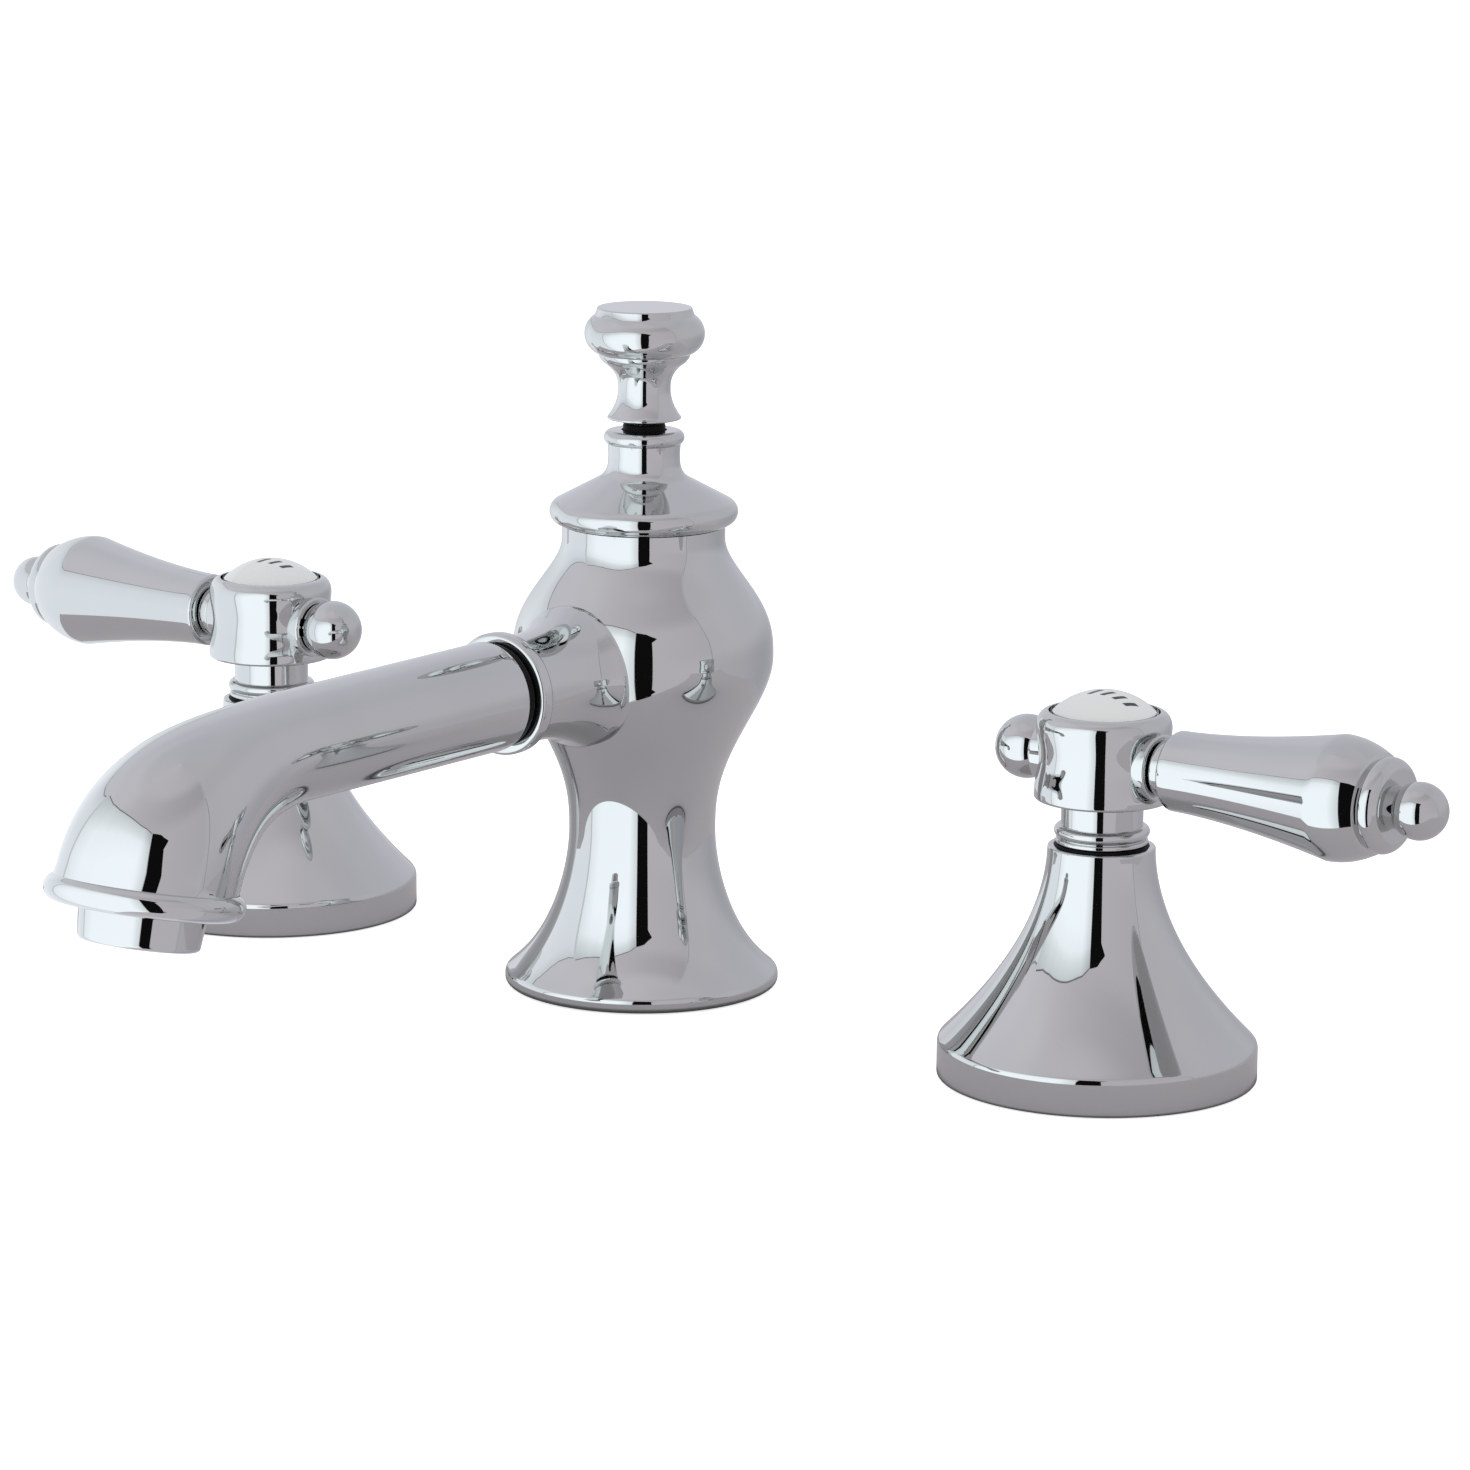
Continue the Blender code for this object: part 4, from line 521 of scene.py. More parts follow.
def makeCollar():
    c = collarSizes
    band = c["ring"] - c["ringRound"]
    outline = [(c["bore"], c["start"]), (c["flange"][0], c["start"]), c["flange"]]
    outline += flow(c["flange"], c["neck"], 24, lambda t: 1 - (1 - t) ** c["flarePower"])
    outline += [(c["neck"][0], c["ringStart"] - c["neckHold"]), (c["neck"][0], c["ringStart"])]
    outline += bow(band, c["ringStart"] + c["ringRound"], c["ringRound"], -90, 0, 8)
    outline += bow(band, c["reach"] - c["ringRound"], c["ringRound"], 0, 90, 8)
    outline += [(c["bore"], c["reach"])]
    collar = turn("trumpet", outline, spoutBase, chrome, forward, sideways)
    ride(collar, "faucet", "chrome", "spout_collar")


sealSizes = {"inner": 0.0082, "outer": 0.0098, "start": 0.0436, "end": 0.0454, "round": 0.0005}


def makeSeal():
    e = sealSizes
    ring = rounded([
        (e["inner"], e["start"]), (e["outer"], e["start"], e["round"]),
        (e["outer"], e["end"], e["round"]), (e["inner"], e["end"]),
    ])
    seal = turn("sealRing", ring, spoutBase, rubber, forward, sideways)
    ride(seal, "faucet", "black_seal", "spout_seal_ring")


tubeSizes = {
    "start": 0.0457, "startRound": 0.0004, "startSteps": 5, "radius": 0.0103, "slim": 0.0101,
    "slimShares": (0.06, 0.3, 0.6), "bendStart": 0.0989, "sag": 0.0005,
    "lead": 0.0145, "outletLead": 0.0155, "outlet": (0.1373, 0.0425), "tilt": 12,
    "outletRadius": 0.0161, "swellPower": 1.9, "lip": 0.0177, "lipRound": 0.0024,
    "lipArc": (66, -90), "lipShare": 0.95,
    "aeratorBore": 0.0116, "boreDepth": 0.0073, "boreEnd": 0.0080, "spigot": 0.0079,
    "spigotStart": 0.0302, "sides": 144, "bendSteps": 56,
}


def outletPlace():
    t = tubeSizes
    tilt = math.radians(t["tilt"])
    centre = spoutAxis + Vector((0, -t["outlet"][0], t["outlet"][1]))
    return centre, Vector((0, -math.sin(tilt), -math.cos(tilt)))


def tubeStations():
    # (centre, direction, radius) along the tube's outside, from its start to the lip
    t = tubeSizes
    centre, outward = outletPlace()
    first = spoutAxis + Vector((0, -t["bendStart"], spoutHeight - t["sag"]))
    guides = (first, first + forward * t["lead"], centre - outward * t["outletLead"], centre)
    lengths = [after - before for before, after in zip(guides, guides[1:])]
    start, edge = spoutBase + forward * t["start"], t["startRound"]
    stations = []
    for step in range(t["startSteps"] + 1):
        angle = math.radians(90 * step / t["startSteps"])
        radius = t["radius"] - edge * (1 - math.sin(angle))
        stations.append((start + forward * edge * (1 - math.cos(angle)), forward, radius))
    for share in t["slimShares"]:
        radius = t["radius"] + (t["slim"] - t["radius"]) * share
        stations.append((start.lerp(first, share), forward, radius))
    for step in range(t["bendSteps"] + 1):
        s = step / t["bendSteps"]
        weights = ((1 - s) ** 3, 3 * s * (1 - s) ** 2, 3 * s * s * (1 - s), s**3)
        spot = sum((guide * weight for guide, weight in zip(guides, weights)), Vector())
        pulls = ((1 - s) ** 2, 2 * s * (1 - s), s * s)
        aim = sum((length * pull for length, pull in zip(lengths, pulls)), Vector()).normalized()
        swollen = s ** t["swellPower"]
        share = swollen / (swollen + (1 - s) ** t["swellPower"])
        radius = t["slim"] + (t["outletRadius"] - t["slim"]) * share
        if (spot - centre).dot(outward) < -t["lipRound"] * t["lipShare"]:
            stations.append((spot, aim, radius))
    for radius, height in bow(t["lip"] - t["lipRound"], 0, t["lipRound"], *t["lipArc"], 22):
        stations.append((centre - outward * height, outward, radius))
    boreTop = centre - outward * t["boreDepth"]
    stations.append((centre + outward * t["lipRound"], outward, t["aeratorBore"]))
    stations.append((boreTop, outward, t["aeratorBore"]))
    stations.append((boreTop, outward, t["boreEnd"]))
    return stations


def makeTube():
    t = tubeSizes
    stations = tubeStations()
    spigot = spoutBase + forward * t["spigotStart"]
    stations = [
        (spigot, forward, t["spigot"]),
        (stations[0][0], forward, t["spigot"]),
    ] + stations
    spot, aim, radius = stations[0]
    tube = addPrimitive(
        "circle", "spoutTube", vertices=t["sides"], radius=radius, location=spot,
        rotation=(math.pi / 2, 0, 0), fill_type="NGON",
    )
    for nextSpot, nextAim, nextRadius in stations[1:]:
        bpy.ops.mesh.extrude_region_move(TRANSFORM_OT_translate={"value": nextSpot - spot})
        bend = aim.angle(nextAim)
        if bend > 1e-6:
            bpy.ops.transform.rotate(value=-bend, orient_axis="X", center_override=nextSpot)
        bpy.ops.transform.resize(value=(nextRadius / radius,) * 3, center_override=nextSpot)
        spot, aim, radius = nextSpot, nextAim, nextRadius
    closeMesh(tube, chrome)
    return ride(tube, "faucet", "chrome", "spout_tube")


aeratorSizes = {
    "radius": 0.0113, "band": (0.0022, 0.0024), "end": 0.0085, "endRadius": 0.0108,
    "endRound": 0.0009, "top": -0.0052, "mouth": 0.0088, "mouthRound": 0.0003, "inside": 0.0100,
    "lip": 0.0008, "lipRound": 0.0001, "lipSlope": 0.0012,
}


def makeAerator():
    a = aeratorSizes
    centre, outward = outletPlace()
    corner = (a["endRadius"] - a["endRound"], a["end"] - a["endRound"])
    lip = a["end"] - a["lip"]
    outline = [(a["inside"], a["top"]), (a["radius"], a["top"])]
    outline += [(a["radius"], height) for height in a["band"]]
    outline += bow(*corner, a["endRound"], 0, 90, 10)
    outline += rounded([
        corner, (a["mouth"], a["end"], a["mouthRound"]), (a["mouth"], lip, a["lipRound"]),
        (a["inside"], lip - a["lipSlope"]), (a["inside"], a["top"]),
    ])[1:-1]
    shell = turn("aeratorShell", outline, centre, chrome, outward, sideways)
    ride(shell, "faucet", "chrome", "aerator_housing")


screenSizes = {
    "radius": 0.0097, "top": 0.0011, "foot": 0.0061, "round": 0.0004,
    "rings": ((0.0030, 6), (0.0062, 12)), "hole": 0.0011, "holeDepth": 0.0050, "holeMiddle": 0.0045,
}


def makeScreen():
    n = screenSizes
    centre, outward = outletPlace()
    disc = rounded([
        (0, n["top"]), (n["radius"], n["top"]), (n["radius"], n["foot"], n["round"]),
        (0, n["foot"]),
    ])
    screen = turn("aeratorScreen", disc, centre, finishes["plastic"], outward, sideways, 64)
    upward = sideways.cross(outward)
    for ring, count in n["rings"]:
        for hole in range(count):
            angle = math.tau * (hole + 0.5) / count
            spot = centre + outward * n["holeMiddle"] + sideways * ring * math.cos(angle)
            spot += upward * ring * math.sin(angle)
            drill = addPrimitive(
                "cylinder", "drill", vertices=16, radius=n["hole"], depth=n["holeDepth"],
                location=spot, rotation=(-math.radians(tubeSizes["tilt"]), 0, 0),
            )
            closeMesh(drill, finishes["plastic"])
            combine(screen, drill, "DIFFERENCE")
    ride(screen, "faucet", "white_plastic", "aerator_insert")


makeCollar()
makeSeal()
makeTube()
makeAerator()
makeScreen()
print("spout made")


# one handle set, made at the cold valve and copied to the hot one

hotAxis = middleOf("hot_escutcheon").xy.to_3d()
coldAxis = middleOf("cold_escutcheon").xy.to_3d()
leverHeight = 0.0590
coldLever = coldAxis + Vector((0, 0, leverHeight))

bellSizes = {
    "radius": 0.0292, "edge": 0.0005, "wallHeight": 0.0059, "shoulder": 0.0018,
    "shoulderTurn": 45, "flarePower": 1.92, "top": (0.0098, 0.0431), "topEdge": 0.0004,
    "shell": 0.0022, "ringSeat": (0.0087, 0.0413), "mouth": (0.0065, 0.0404),
    "outsideSteps": 48, "insideSteps": 14,
}


def makeBell():
    b = bellSizes

    def flare(t):
        return 1 - (1 - t) ** b["flarePower"]

    bend = b["radius"] - b["shoulder"]
    shoulder = bow(bend, b["wallHeight"], b["shoulder"], 0, b["shoulderTurn"], 10)
    side = flow(shoulder[-1], b["top"], b["outsideSteps"], flare)
    inner = flow(shoulder[-1], b["top"], b["insideSteps"], flare)
    inner = [(r - b["shell"], z) for r, z in inner if z < b["mouth"][1]]
    seatEdge = (b["ringSeat"][0], b["top"][1])
    outline = rounded([
        (bend - b["shell"], 0), (b["radius"], 0, b["edge"]), (b["radius"], b["wallHeight"] / 2),
    ])
    outline += shoulder + side[:-1]
    outline += rounded([side[-4], b["top"] + (b["topEdge"],), seatEdge])[2:-1]
    outline += [seatEdge, b["ringSeat"], (b["mouth"][0], b["ringSeat"][1]), b["mouth"]]
    bell = turn("coldBell", outline + inner[::-1], coldAxis, chrome, steps=160)
    return ride(bell, "faucet", "chrome", "cold_escutcheon")


neckSizes = {
    "sleeve": 0.0060, "sleeveFoot": 0.0407, "ring": (0.0084, 0.0436, 0.0445), "ringEdge": 0.0003,
    "groove": 0.0079, "foot": 0.0447, "bead": 0.0087, "beadRound": 0.0011,
    "neck": 0.00745, "neckTop": 0.0514, "neckEdge": 0.0002, "spigot": 0.0062, "spigotTop": 0.0538,
    "bore": 0.0043,
}


def makeNeck():
    n = neckSizes
    beadCentre = n["foot"] + n["beadRound"]
    radius, low, high = n["ring"]
    outline = [(n["bore"], n["sleeveFoot"]), (n["sleeve"], n["sleeveFoot"]), (n["sleeve"], low)]
    outline += rounded([
        (n["sleeve"], low), (radius, low, n["ringEdge"]), (radius, high, n["ringEdge"]),
        (n["groove"], high), (n["groove"], n["foot"]),
    ], support=0.2)[1:]
    outline += bow(n["bead"] - n["beadRound"], beadCentre, n["beadRound"], -90, 80, 14)
    outline += rounded([
        (n["neck"], beadCentre + n["beadRound"]), (n["neck"], n["neckTop"], n["neckEdge"]),
        (n["spigot"], n["neckTop"]),
    ])
    outline += [(n["spigot"], n["spigotTop"]), (n["bore"], n["spigotTop"])]
    neck = turn("coldNeck", outline, coldAxis, chrome)
    return ride(neck, "cold_handle", "chrome", "cold_handle_collar")


glideSizes = {"inner": 0.0063, "outer": 0.0086, "top": 0.0435, "round": 0.0003}


def makeGlideRing():
    g = glideSizes
    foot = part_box("cold_glide_ring")[0].z
    ring = rounded([
        (g["inner"], foot), (g["outer"], foot), (g["outer"], g["top"], g["round"]),
        (g["inner"], g["top"], g["round"]),
    ])
    glide = turn("coldGlideRing", ring, coldAxis, rubber)
    return ride(glide, "faucet", "black_seal", "cold_glide_ring")


hubSizes = {
    "foot": 0.0517, "flange": 0.0125, "flangeTop": 0.0529, "edge": 0.0006,
    "waist": (0.0117, 0.0590), "shoulder": (0.0123, 0.0650), "rim": 0.0103, "top": 0.0678,
    "button": 0.0101, "buttonSeat": 0.0653, "headHole": 0.0046, "screwSeat": 0.0610,
    "screwHole": 0.0023, "socketRoof": 0.0560, "bore": 0.0043, "recessTop": 0.0541,
    "recess": 0.0065, "boss": 0.0061, "bossStart": 0.0085, "bossEnd": 0.0126, "bossRound": 0.0005,
    "stud": 0.0033, "studSeat": 0.0056, "drillEnd": 0.0136, "seam": 0.02, "domeSteps": 16,
}


def makeHub():
    h = hubSizes
    outline = rounded([
        (h["recess"], h["foot"]), (h["flange"], h["foot"], h["edge"]),
        (h["flange"], h["flangeTop"]),
    ])
    outline += flow(outline[-1], h["waist"], 18, smooth)
    outline += flow(h["waist"], h["shoulder"], 16, smooth)
    for step in range(1, h["domeSteps"] + 1):
        angle = math.pi / 2 * step / h["domeSteps"]
        radius = h["rim"] + (h["shoulder"][0] - h["rim"]) * math.cos(angle)
        height = h["shoulder"][1] + (h["top"] - h["shoulder"][1]) * math.sin(angle)
        outline.append((radius, height))
    outline += [
        (h["button"], h["top"]), (h["button"], h["buttonSeat"]), (h["headHole"], h["buttonSeat"]),
        (h["headHole"], h["screwSeat"]), (h["screwHole"], h["screwSeat"]),
        (h["screwHole"], h["socketRoof"]), (h["bore"], h["socketRoof"]),
        (h["bore"], h["recessTop"]), (h["recess"], h["recessTop"]),
    ]
    hub = turn("coldHub", outline, coldAxis, chrome)
    bossOutline = rounded([
        (0, h["bossStart"]), (h["boss"], h["bossStart"]), (h["boss"], h["bossEnd"], h["bossRound"]),
        (0, h["bossEnd"]),
    ])
    drillOutline = [
        (0, h["studSeat"]), (h["stud"], h["studSeat"]), (h["stud"], h["drillEnd"]),
        (0, h["drillEnd"]),
    ]
    # the small turn keeps the bosses' edges off the hub's own
    upward = Vector((0, math.sin(h["seam"]), math.cos(h["seam"])))
    for side in (1, -1):
        aim = Vector((side, 0, 0))
        boss = turn("boss", bossOutline, coldLever, chrome, aim, upward, 96)
        combine(hub, boss, "UNION")
        drill = turn("drill", drillOutline, coldLever, chrome, aim, upward, 50)
        combine(hub, drill, "DIFFERENCE")
    bpy.ops.object.shade_smooth_by_angle(angle=math.radians(32))
    return ride(hub, "cold_handle", "chrome", "cold_hub")


buttonSizes = {
    "radius": 0.0094, "foot": 0.0656, "footEdge": 0.0002, "edge": 0.0021, "rise": 0.0039,
    "plug": (0.0043, 0.0650),
}


def domeShape():
    # the dome's radius of curvature and the height of its centre
    b = buttonSizes
    dome = (b["radius"] ** 2 + b["rise"] ** 2) / (2 * b["rise"])
    return dome, b["foot"] + b["edge"] + b["rise"] - dome


def makeButton():
    b = buttonSizes
    dome, centre = domeShape()
    rim = math.degrees(math.acos(b["radius"] / dome))
    outline = [(0, b["plug"][1]), b["plug"], (b["plug"][0], b["foot"])]
    outline += [(b["radius"] - b["footEdge"], b["foot"]), (b["radius"], b["foot"] + b["footEdge"])]
    outline += bow(0, centre, dome, rim, 90, 30)[:-1]
    outline += [(0, b["foot"] + b["edge"] + b["rise"])]
    button = turn("coldButton", outline, coldAxis, porcelain)
    return ride(button, "cold_handle", "porcelain", "cold_index_button")


marksSizes = {
    "width": 0.0008, "length": 0.0027, "lean": 0.5, "sunk": 0.00008, "proud": 0.00005,
    # millimetres to the camera's right and toward it from the dome's middle
    "cold": ((-1.8, 0.8), (0.4, 2.1), (2.4, 3.4), (4.3, 4.7)),
    "hot": ((-1.2, 1.4), (1.2, 2.6), (3.5, 3.6)),
}


def makeMarks(side, axis):
    # plain strokes in place of words, each laid on the dome
    m = marksSizes
    dome, centre = domeShape()
    places = [(level * right + front * toward) / 1000 for right, toward in m[side]]
    along = (places[-1] - places[0]).normalized()
    across = (Vector((-along.y, along.x, 0)) + along * m["lean"]).normalized()
    rise = (0, 0, m["sunk"] + m["proud"])
    strokes = []
    for place in places:
        stroke = addPrimitive("grid", side + "Marks", size=1, x_subdivisions=2, y_subdivisions=8)
        bpy.ops.object.mode_set(mode="OBJECT")
        for vertex in stroke.data.vertices:
            spot = place + along * vertex.co.x * m["width"] + across * vertex.co.y * m["length"]
            height = centre + math.sqrt(dome**2 - spot.length_squared) - m["sunk"]
            vertex.co = axis + Vector((spot.x, spot.y, height))
        bpy.ops.object.mode_set(mode="EDIT")
        bpy.ops.mesh.select_all(action="SELECT")
        bpy.ops.mesh.extrude_region_move(TRANSFORM_OT_translate={"value": rise})
        strokes.append(closeMesh(stroke, finishes["enamel"]))
    bpy.ops.object.select_all(action="DESELECT")
    for stroke in strokes:
        stroke.select_set(True)
    bpy.context.view_layer.objects.active = strokes[0]
    bpy.ops.object.join()
    ride(strokes[0], side + "_handle", "black_seal")


ferruleSizes = {"bore": 0.0033, "radius": 0.0053, "start": 0.0129, "end": 0.0154, "edge": 0.0006}


def makeFerrule():
    f = ferruleSizes
    outline = rounded([
        (f["bore"], f["start"]), (f["radius"], f["start"], f["edge"]),
        (f["radius"], f["end"], f["edge"]), (f["bore"], f["end"]),
    ])
    ferrule = turn("coldFerrule", outline, coldLever, chrome, (1, 0, 0), (0, 0, 1), 96)
    return ride(ferrule, "cold_handle", "chrome", "cold_lever_ferrule")


leverSizes = {
    "studStart": 0.0059, "stud": 0.0030, "start": 0.0157, "startRadius": 0.0073, "edge": 0.0007,
    "full": (0.0113, 0.0497), "growPower": 1.65, "end": (0.0091, 0.0577), "endPower": 2,
    "bead": 0.0086, "beadRound": 0.0023, "beadReach": 0.0594, "neck": 0.0038, "neckLength": 0.0009,
    "ball": 0.00515,
}


def ballOutline(radius, neck, start):
    centre = start + math.sqrt(radius**2 - neck**2)
    meeting = math.degrees(math.acos(neck / radius))
    return bow(0, centre, radius, -meeting, 90, 32)[:-1] + [(0, centre + radius)]


def makeLever():
    g = leverSizes
    slim = (g["startRadius"], g["start"] + g["edge"])
    outline = [(0, g["studStart"]), (g["stud"], g["studStart"])]
    outline += rounded([
        (g["stud"], g["start"]), (g["startRadius"], g["start"], g["edge"]),
        (g["startRadius"], g["start"] + g["edge"] * 3),
    ])[:-2]
    outline += flow(slim, g["full"], 36, lambda t: t ** g["growPower"])
    outline += flow(g["full"], g["end"], 14, lambda t: t ** g["endPower"])
    outline += bow(g["bead"] - g["beadRound"], g["beadReach"], g["beadRound"], -35, 90, 18)
    neckStart = g["beadReach"] + g["beadRound"]
    outline += [(g["neck"], neckStart)]
    outline += ballOutline(g["ball"], g["neck"], neckStart + g["neckLength"])
    lever = turn("coldLever", outline, coldLever, chrome, (1, 0, 0), (0, 0, 1))
    return ride(lever, "cold_handle", "chrome", "cold_lever")


finialSizes = {
    "studStart": 0.0059, "stud": 0.0030, "start": 0.0129, "neck": 0.0048, "neckLength": 0.0004,
    "ball": 0.0059,
}


def makeFinial():
    f = finialSizes
    outline = [(0, f["studStart"]), (f["stud"], f["studStart"]), (f["stud"], f["start"])]
    outline += [(f["neck"], f["start"])]
    outline += ballOutline(f["ball"], f["neck"], f["start"] + f["neckLength"])
    finial = turn("coldFinial", outline, coldLever, chrome, (-1, 0, 0), (0, 0, 1))
    return ride(finial, "cold_handle", "chrome", "cold_ball_finial")


coldPieces = {
    # each piece with its body, slot and node
    "Bell": (makeBell(), "faucet", "chrome", "escutcheon"),
    "Hub": (makeHub(), "handle", "chrome", "hub"),
    "Button": (makeButton(), "handle", "porcelain", "index_button"),
    "Ferrule": (makeFerrule(), "handle", "chrome", "lever_ferrule"),
    "Lever": (makeLever(), "handle", "chrome", "lever"),
    "Finial": (makeFinial(), "handle", "chrome", "ball_finial"),
    "Neck": (makeNeck(), "handle", "chrome", "handle_collar"),
    "GlideRing": (makeGlideRing(), "faucet", "black_seal", "glide_ring"),
}
for name, (piece, body, slot, node) in coldPieces.items():
    copy = copyTurned(piece, "hot" + name, hotAxis - coldAxis, coldAxis)
    ride(copy, body if body == "faucet" else "hot_handle", slot, "hot_" + node)
makeMarks("cold", coldAxis)
makeMarks("hot", hotAxis)
print("handles made")


# the CAD nodes that stay, below the deck and inside the valves, get finishes of their own

stayFinishes = {
    "brass": ("valve_body", "cartridge", "bonnet_nut", "stem", "locknut", "mounting_nut",
              "spout_shank", "riser_pipe", "inlet_tee"),
    "steel": ("metal_washer", "handle_screw"),
    "ceramic": ("fixed_disc", "moving_disc"),
    "rubber": ("rubber_washer", "seat_seal", "foot_gasket", "aerator_washer"),
}
for finishName, endings in stayFinishes.items():
    for nodeName, node in frame["nodes"].items():
        if nodeName.endswith(endings):
            node.data.materials.clear()
            node.data.materials.append(finishes[finishName])
            node.visible_glossy = False  # the deck would hide it from the chrome above


# studio: a soft tent, a window and a small table top that only reflections show, a white floor

studio = {
    "centre": (0, 0, 0.06), "reach": 0.70, "world": 0.86,
    # tent tones, band by band upwards: the elevations between which a band comes in, then stops
    # of degrees to the camera's right of its line, and grey
    "bands": [
        (-90, -90, [
            (-180, 0.72), (-150, 0.84), (-100, 0.80), (-20, 0.66), (10, 0.66), (60, 0.66),
            (64, 0.60), (100, 0.56), (128, 0.49), (155, 0.50), (172, 0.62), (180, 0.72),
        ]),
        (-8, 10, [
            (-180, 0.74), (-160, 0.77), (-100, 0.80), (-20, 0.66), (10, 0.66), (60, 0.61),
            (64, 0.64), (85, 0.65), (115, 0.64), (140, 0.64), (165, 0.68), (180, 0.74),
        ]),
        (36, 50, [
            (-180, 0.69), (-110, 0.77), (-70, 0.77), (-50, 0.70), (-30, 0.66), (-8, 0.62),
            (12, 0.58), (60, 0.51), (64, 0.62), (90, 0.62), (112, 0.62), (135, 0.64), (180, 0.69),
        ]),
        (56, 68, [(-180, 0.66), (-60, 0.72), (0, 0.70), (60, 0.64), (180, 0.66)]),
    ],
    "frontTint": (1.03, 0.975, 1.03), "backTint": (0.985, 0.985, 1.08),
}


def glow(name, colour):
    light = bpy.data.materials.new(name)
    light.use_nodes = True
    light.cycles.emission_sampling = "NONE"
    nodes, links = light.node_tree.nodes, light.node_tree.links
    nodes.clear()
    emission = nodes.new("ShaderNodeEmission")
    emission.inputs["Color"].default_value = (*colour, 1)
    output = nodes.new("ShaderNodeOutputMaterial")
    links.new(emission.outputs["Emission"], output.inputs["Surface"])
    return light


def hideFromCamera(card):
    card.visible_camera = False
    card.visible_diffuse = False
    card.visible_shadow = False
    return card


def makeTentCloth():
    cloth = glow("tentCloth", (0.6, 0.6, 0.6))
    tree = cloth.node_tree
    nodes, links = tree.nodes, tree.links
    where = nodes.new("ShaderNodeTexCoord")
    parts = nodes.new("ShaderNodeSeparateXYZ")
    links.new(where.outputs["Object"], parts.inputs["Vector"])
    # a share of the full turn, 0.5 where the camera stands
    swing = addMath(tree, "ARCTAN2", parts.outputs["Y"], parts.outputs["X"])
    middle = 0.5 - math.atan2(front.y, front.x) / math.tau
    turnShare = addMath(tree, "MULTIPLY_ADD", swing, 1 / math.tau, middle)
    turnShare = addMath(tree, "FRACT", turnShare)
    frontTint, backTint = Vector(studio["frontTint"]), Vector(studio["backTint"])
    tones = None
    for start, end, spots in studio["bands"]:
        stops = []
        for degrees, grey in spots:
            back = (1 - math.cos(math.radians(degrees))) / 2
            stops.append(((degrees + 180) / 360, grey * frontTint.lerp(backTint, back)))
        band = addRamp(tree, turnShare, stops)
        if tones is None:
            tones = band
            continue
        low, high = (
            studio["centre"][2] + studio["reach"] * math.sin(math.radians(degrees))
            for degrees in (start, end)
        )
        height = addRange(tree, parts.outputs["Z"], low, high, kind="SMOOTHSTEP")
        tones = addBlend(tree, height, tones, band)
    links.new(tones, nodes["Emission"].inputs["Color"])
    return cloth


def makeTent():
    tent = addPrimitive(
        "uv_sphere", "tent", segments=96, ring_count=48, radius=studio["reach"],
        location=studio["centre"],
    )
    closeMesh(tent, makeTentCloth())
    hideFromCamera(tent)


def dim(light, axis, stops):
    # multiplies a card's light by a ramp along its UV map
    tree = light.node_tree
    where = tree.nodes.new("ShaderNodeUVMap")
    parts = tree.nodes.new("ShaderNodeSeparateXYZ")
    tree.links.new(where.outputs["UV"], parts.inputs["Vector"])
    share = addRamp(tree, parts.outputs[axis], [(place, (grey,) * 3) for place, grey in stops])
    strength = tree.nodes["Emission"].inputs["Strength"]
    before = strength.links[0].from_socket if strength.is_linked else 1
    tree.links.new(addMath(tree, "MULTIPLY", share, before), strength)


def hangCard(name, stations, colour, along=None, upward=None):
    # stations: metres to the camera's right and toward it, then the card's low and high edge
    spots = []
    for right, toward, low, high in stations:
        foot = level * right + front * toward
        spots.append((foot + Vector((0, 0, low)), foot + Vector((0, 0, high))))
    last = len(spots) - 1
    card = addPrimitive("grid", name, size=1, x_subdivisions=last, y_subdivisions=1)
    bpy.ops.object.mode_set(mode="OBJECT")
    for vertex in card.data.vertices:
        column = round((vertex.co.x + 0.5) * last)
        vertex.co = spots[column][1 if vertex.co.y > 0 else 0]
    bpy.ops.object.transform_apply(location=True, rotation=True, scale=True)
    light = glow(name + "Glow", colour)
    card.data.materials.append(light)
    for axis, stops in (("X", along), ("Y", upward)):
        if stops:
            dim(light, axis, stops)
    return hideFromCamera(card)


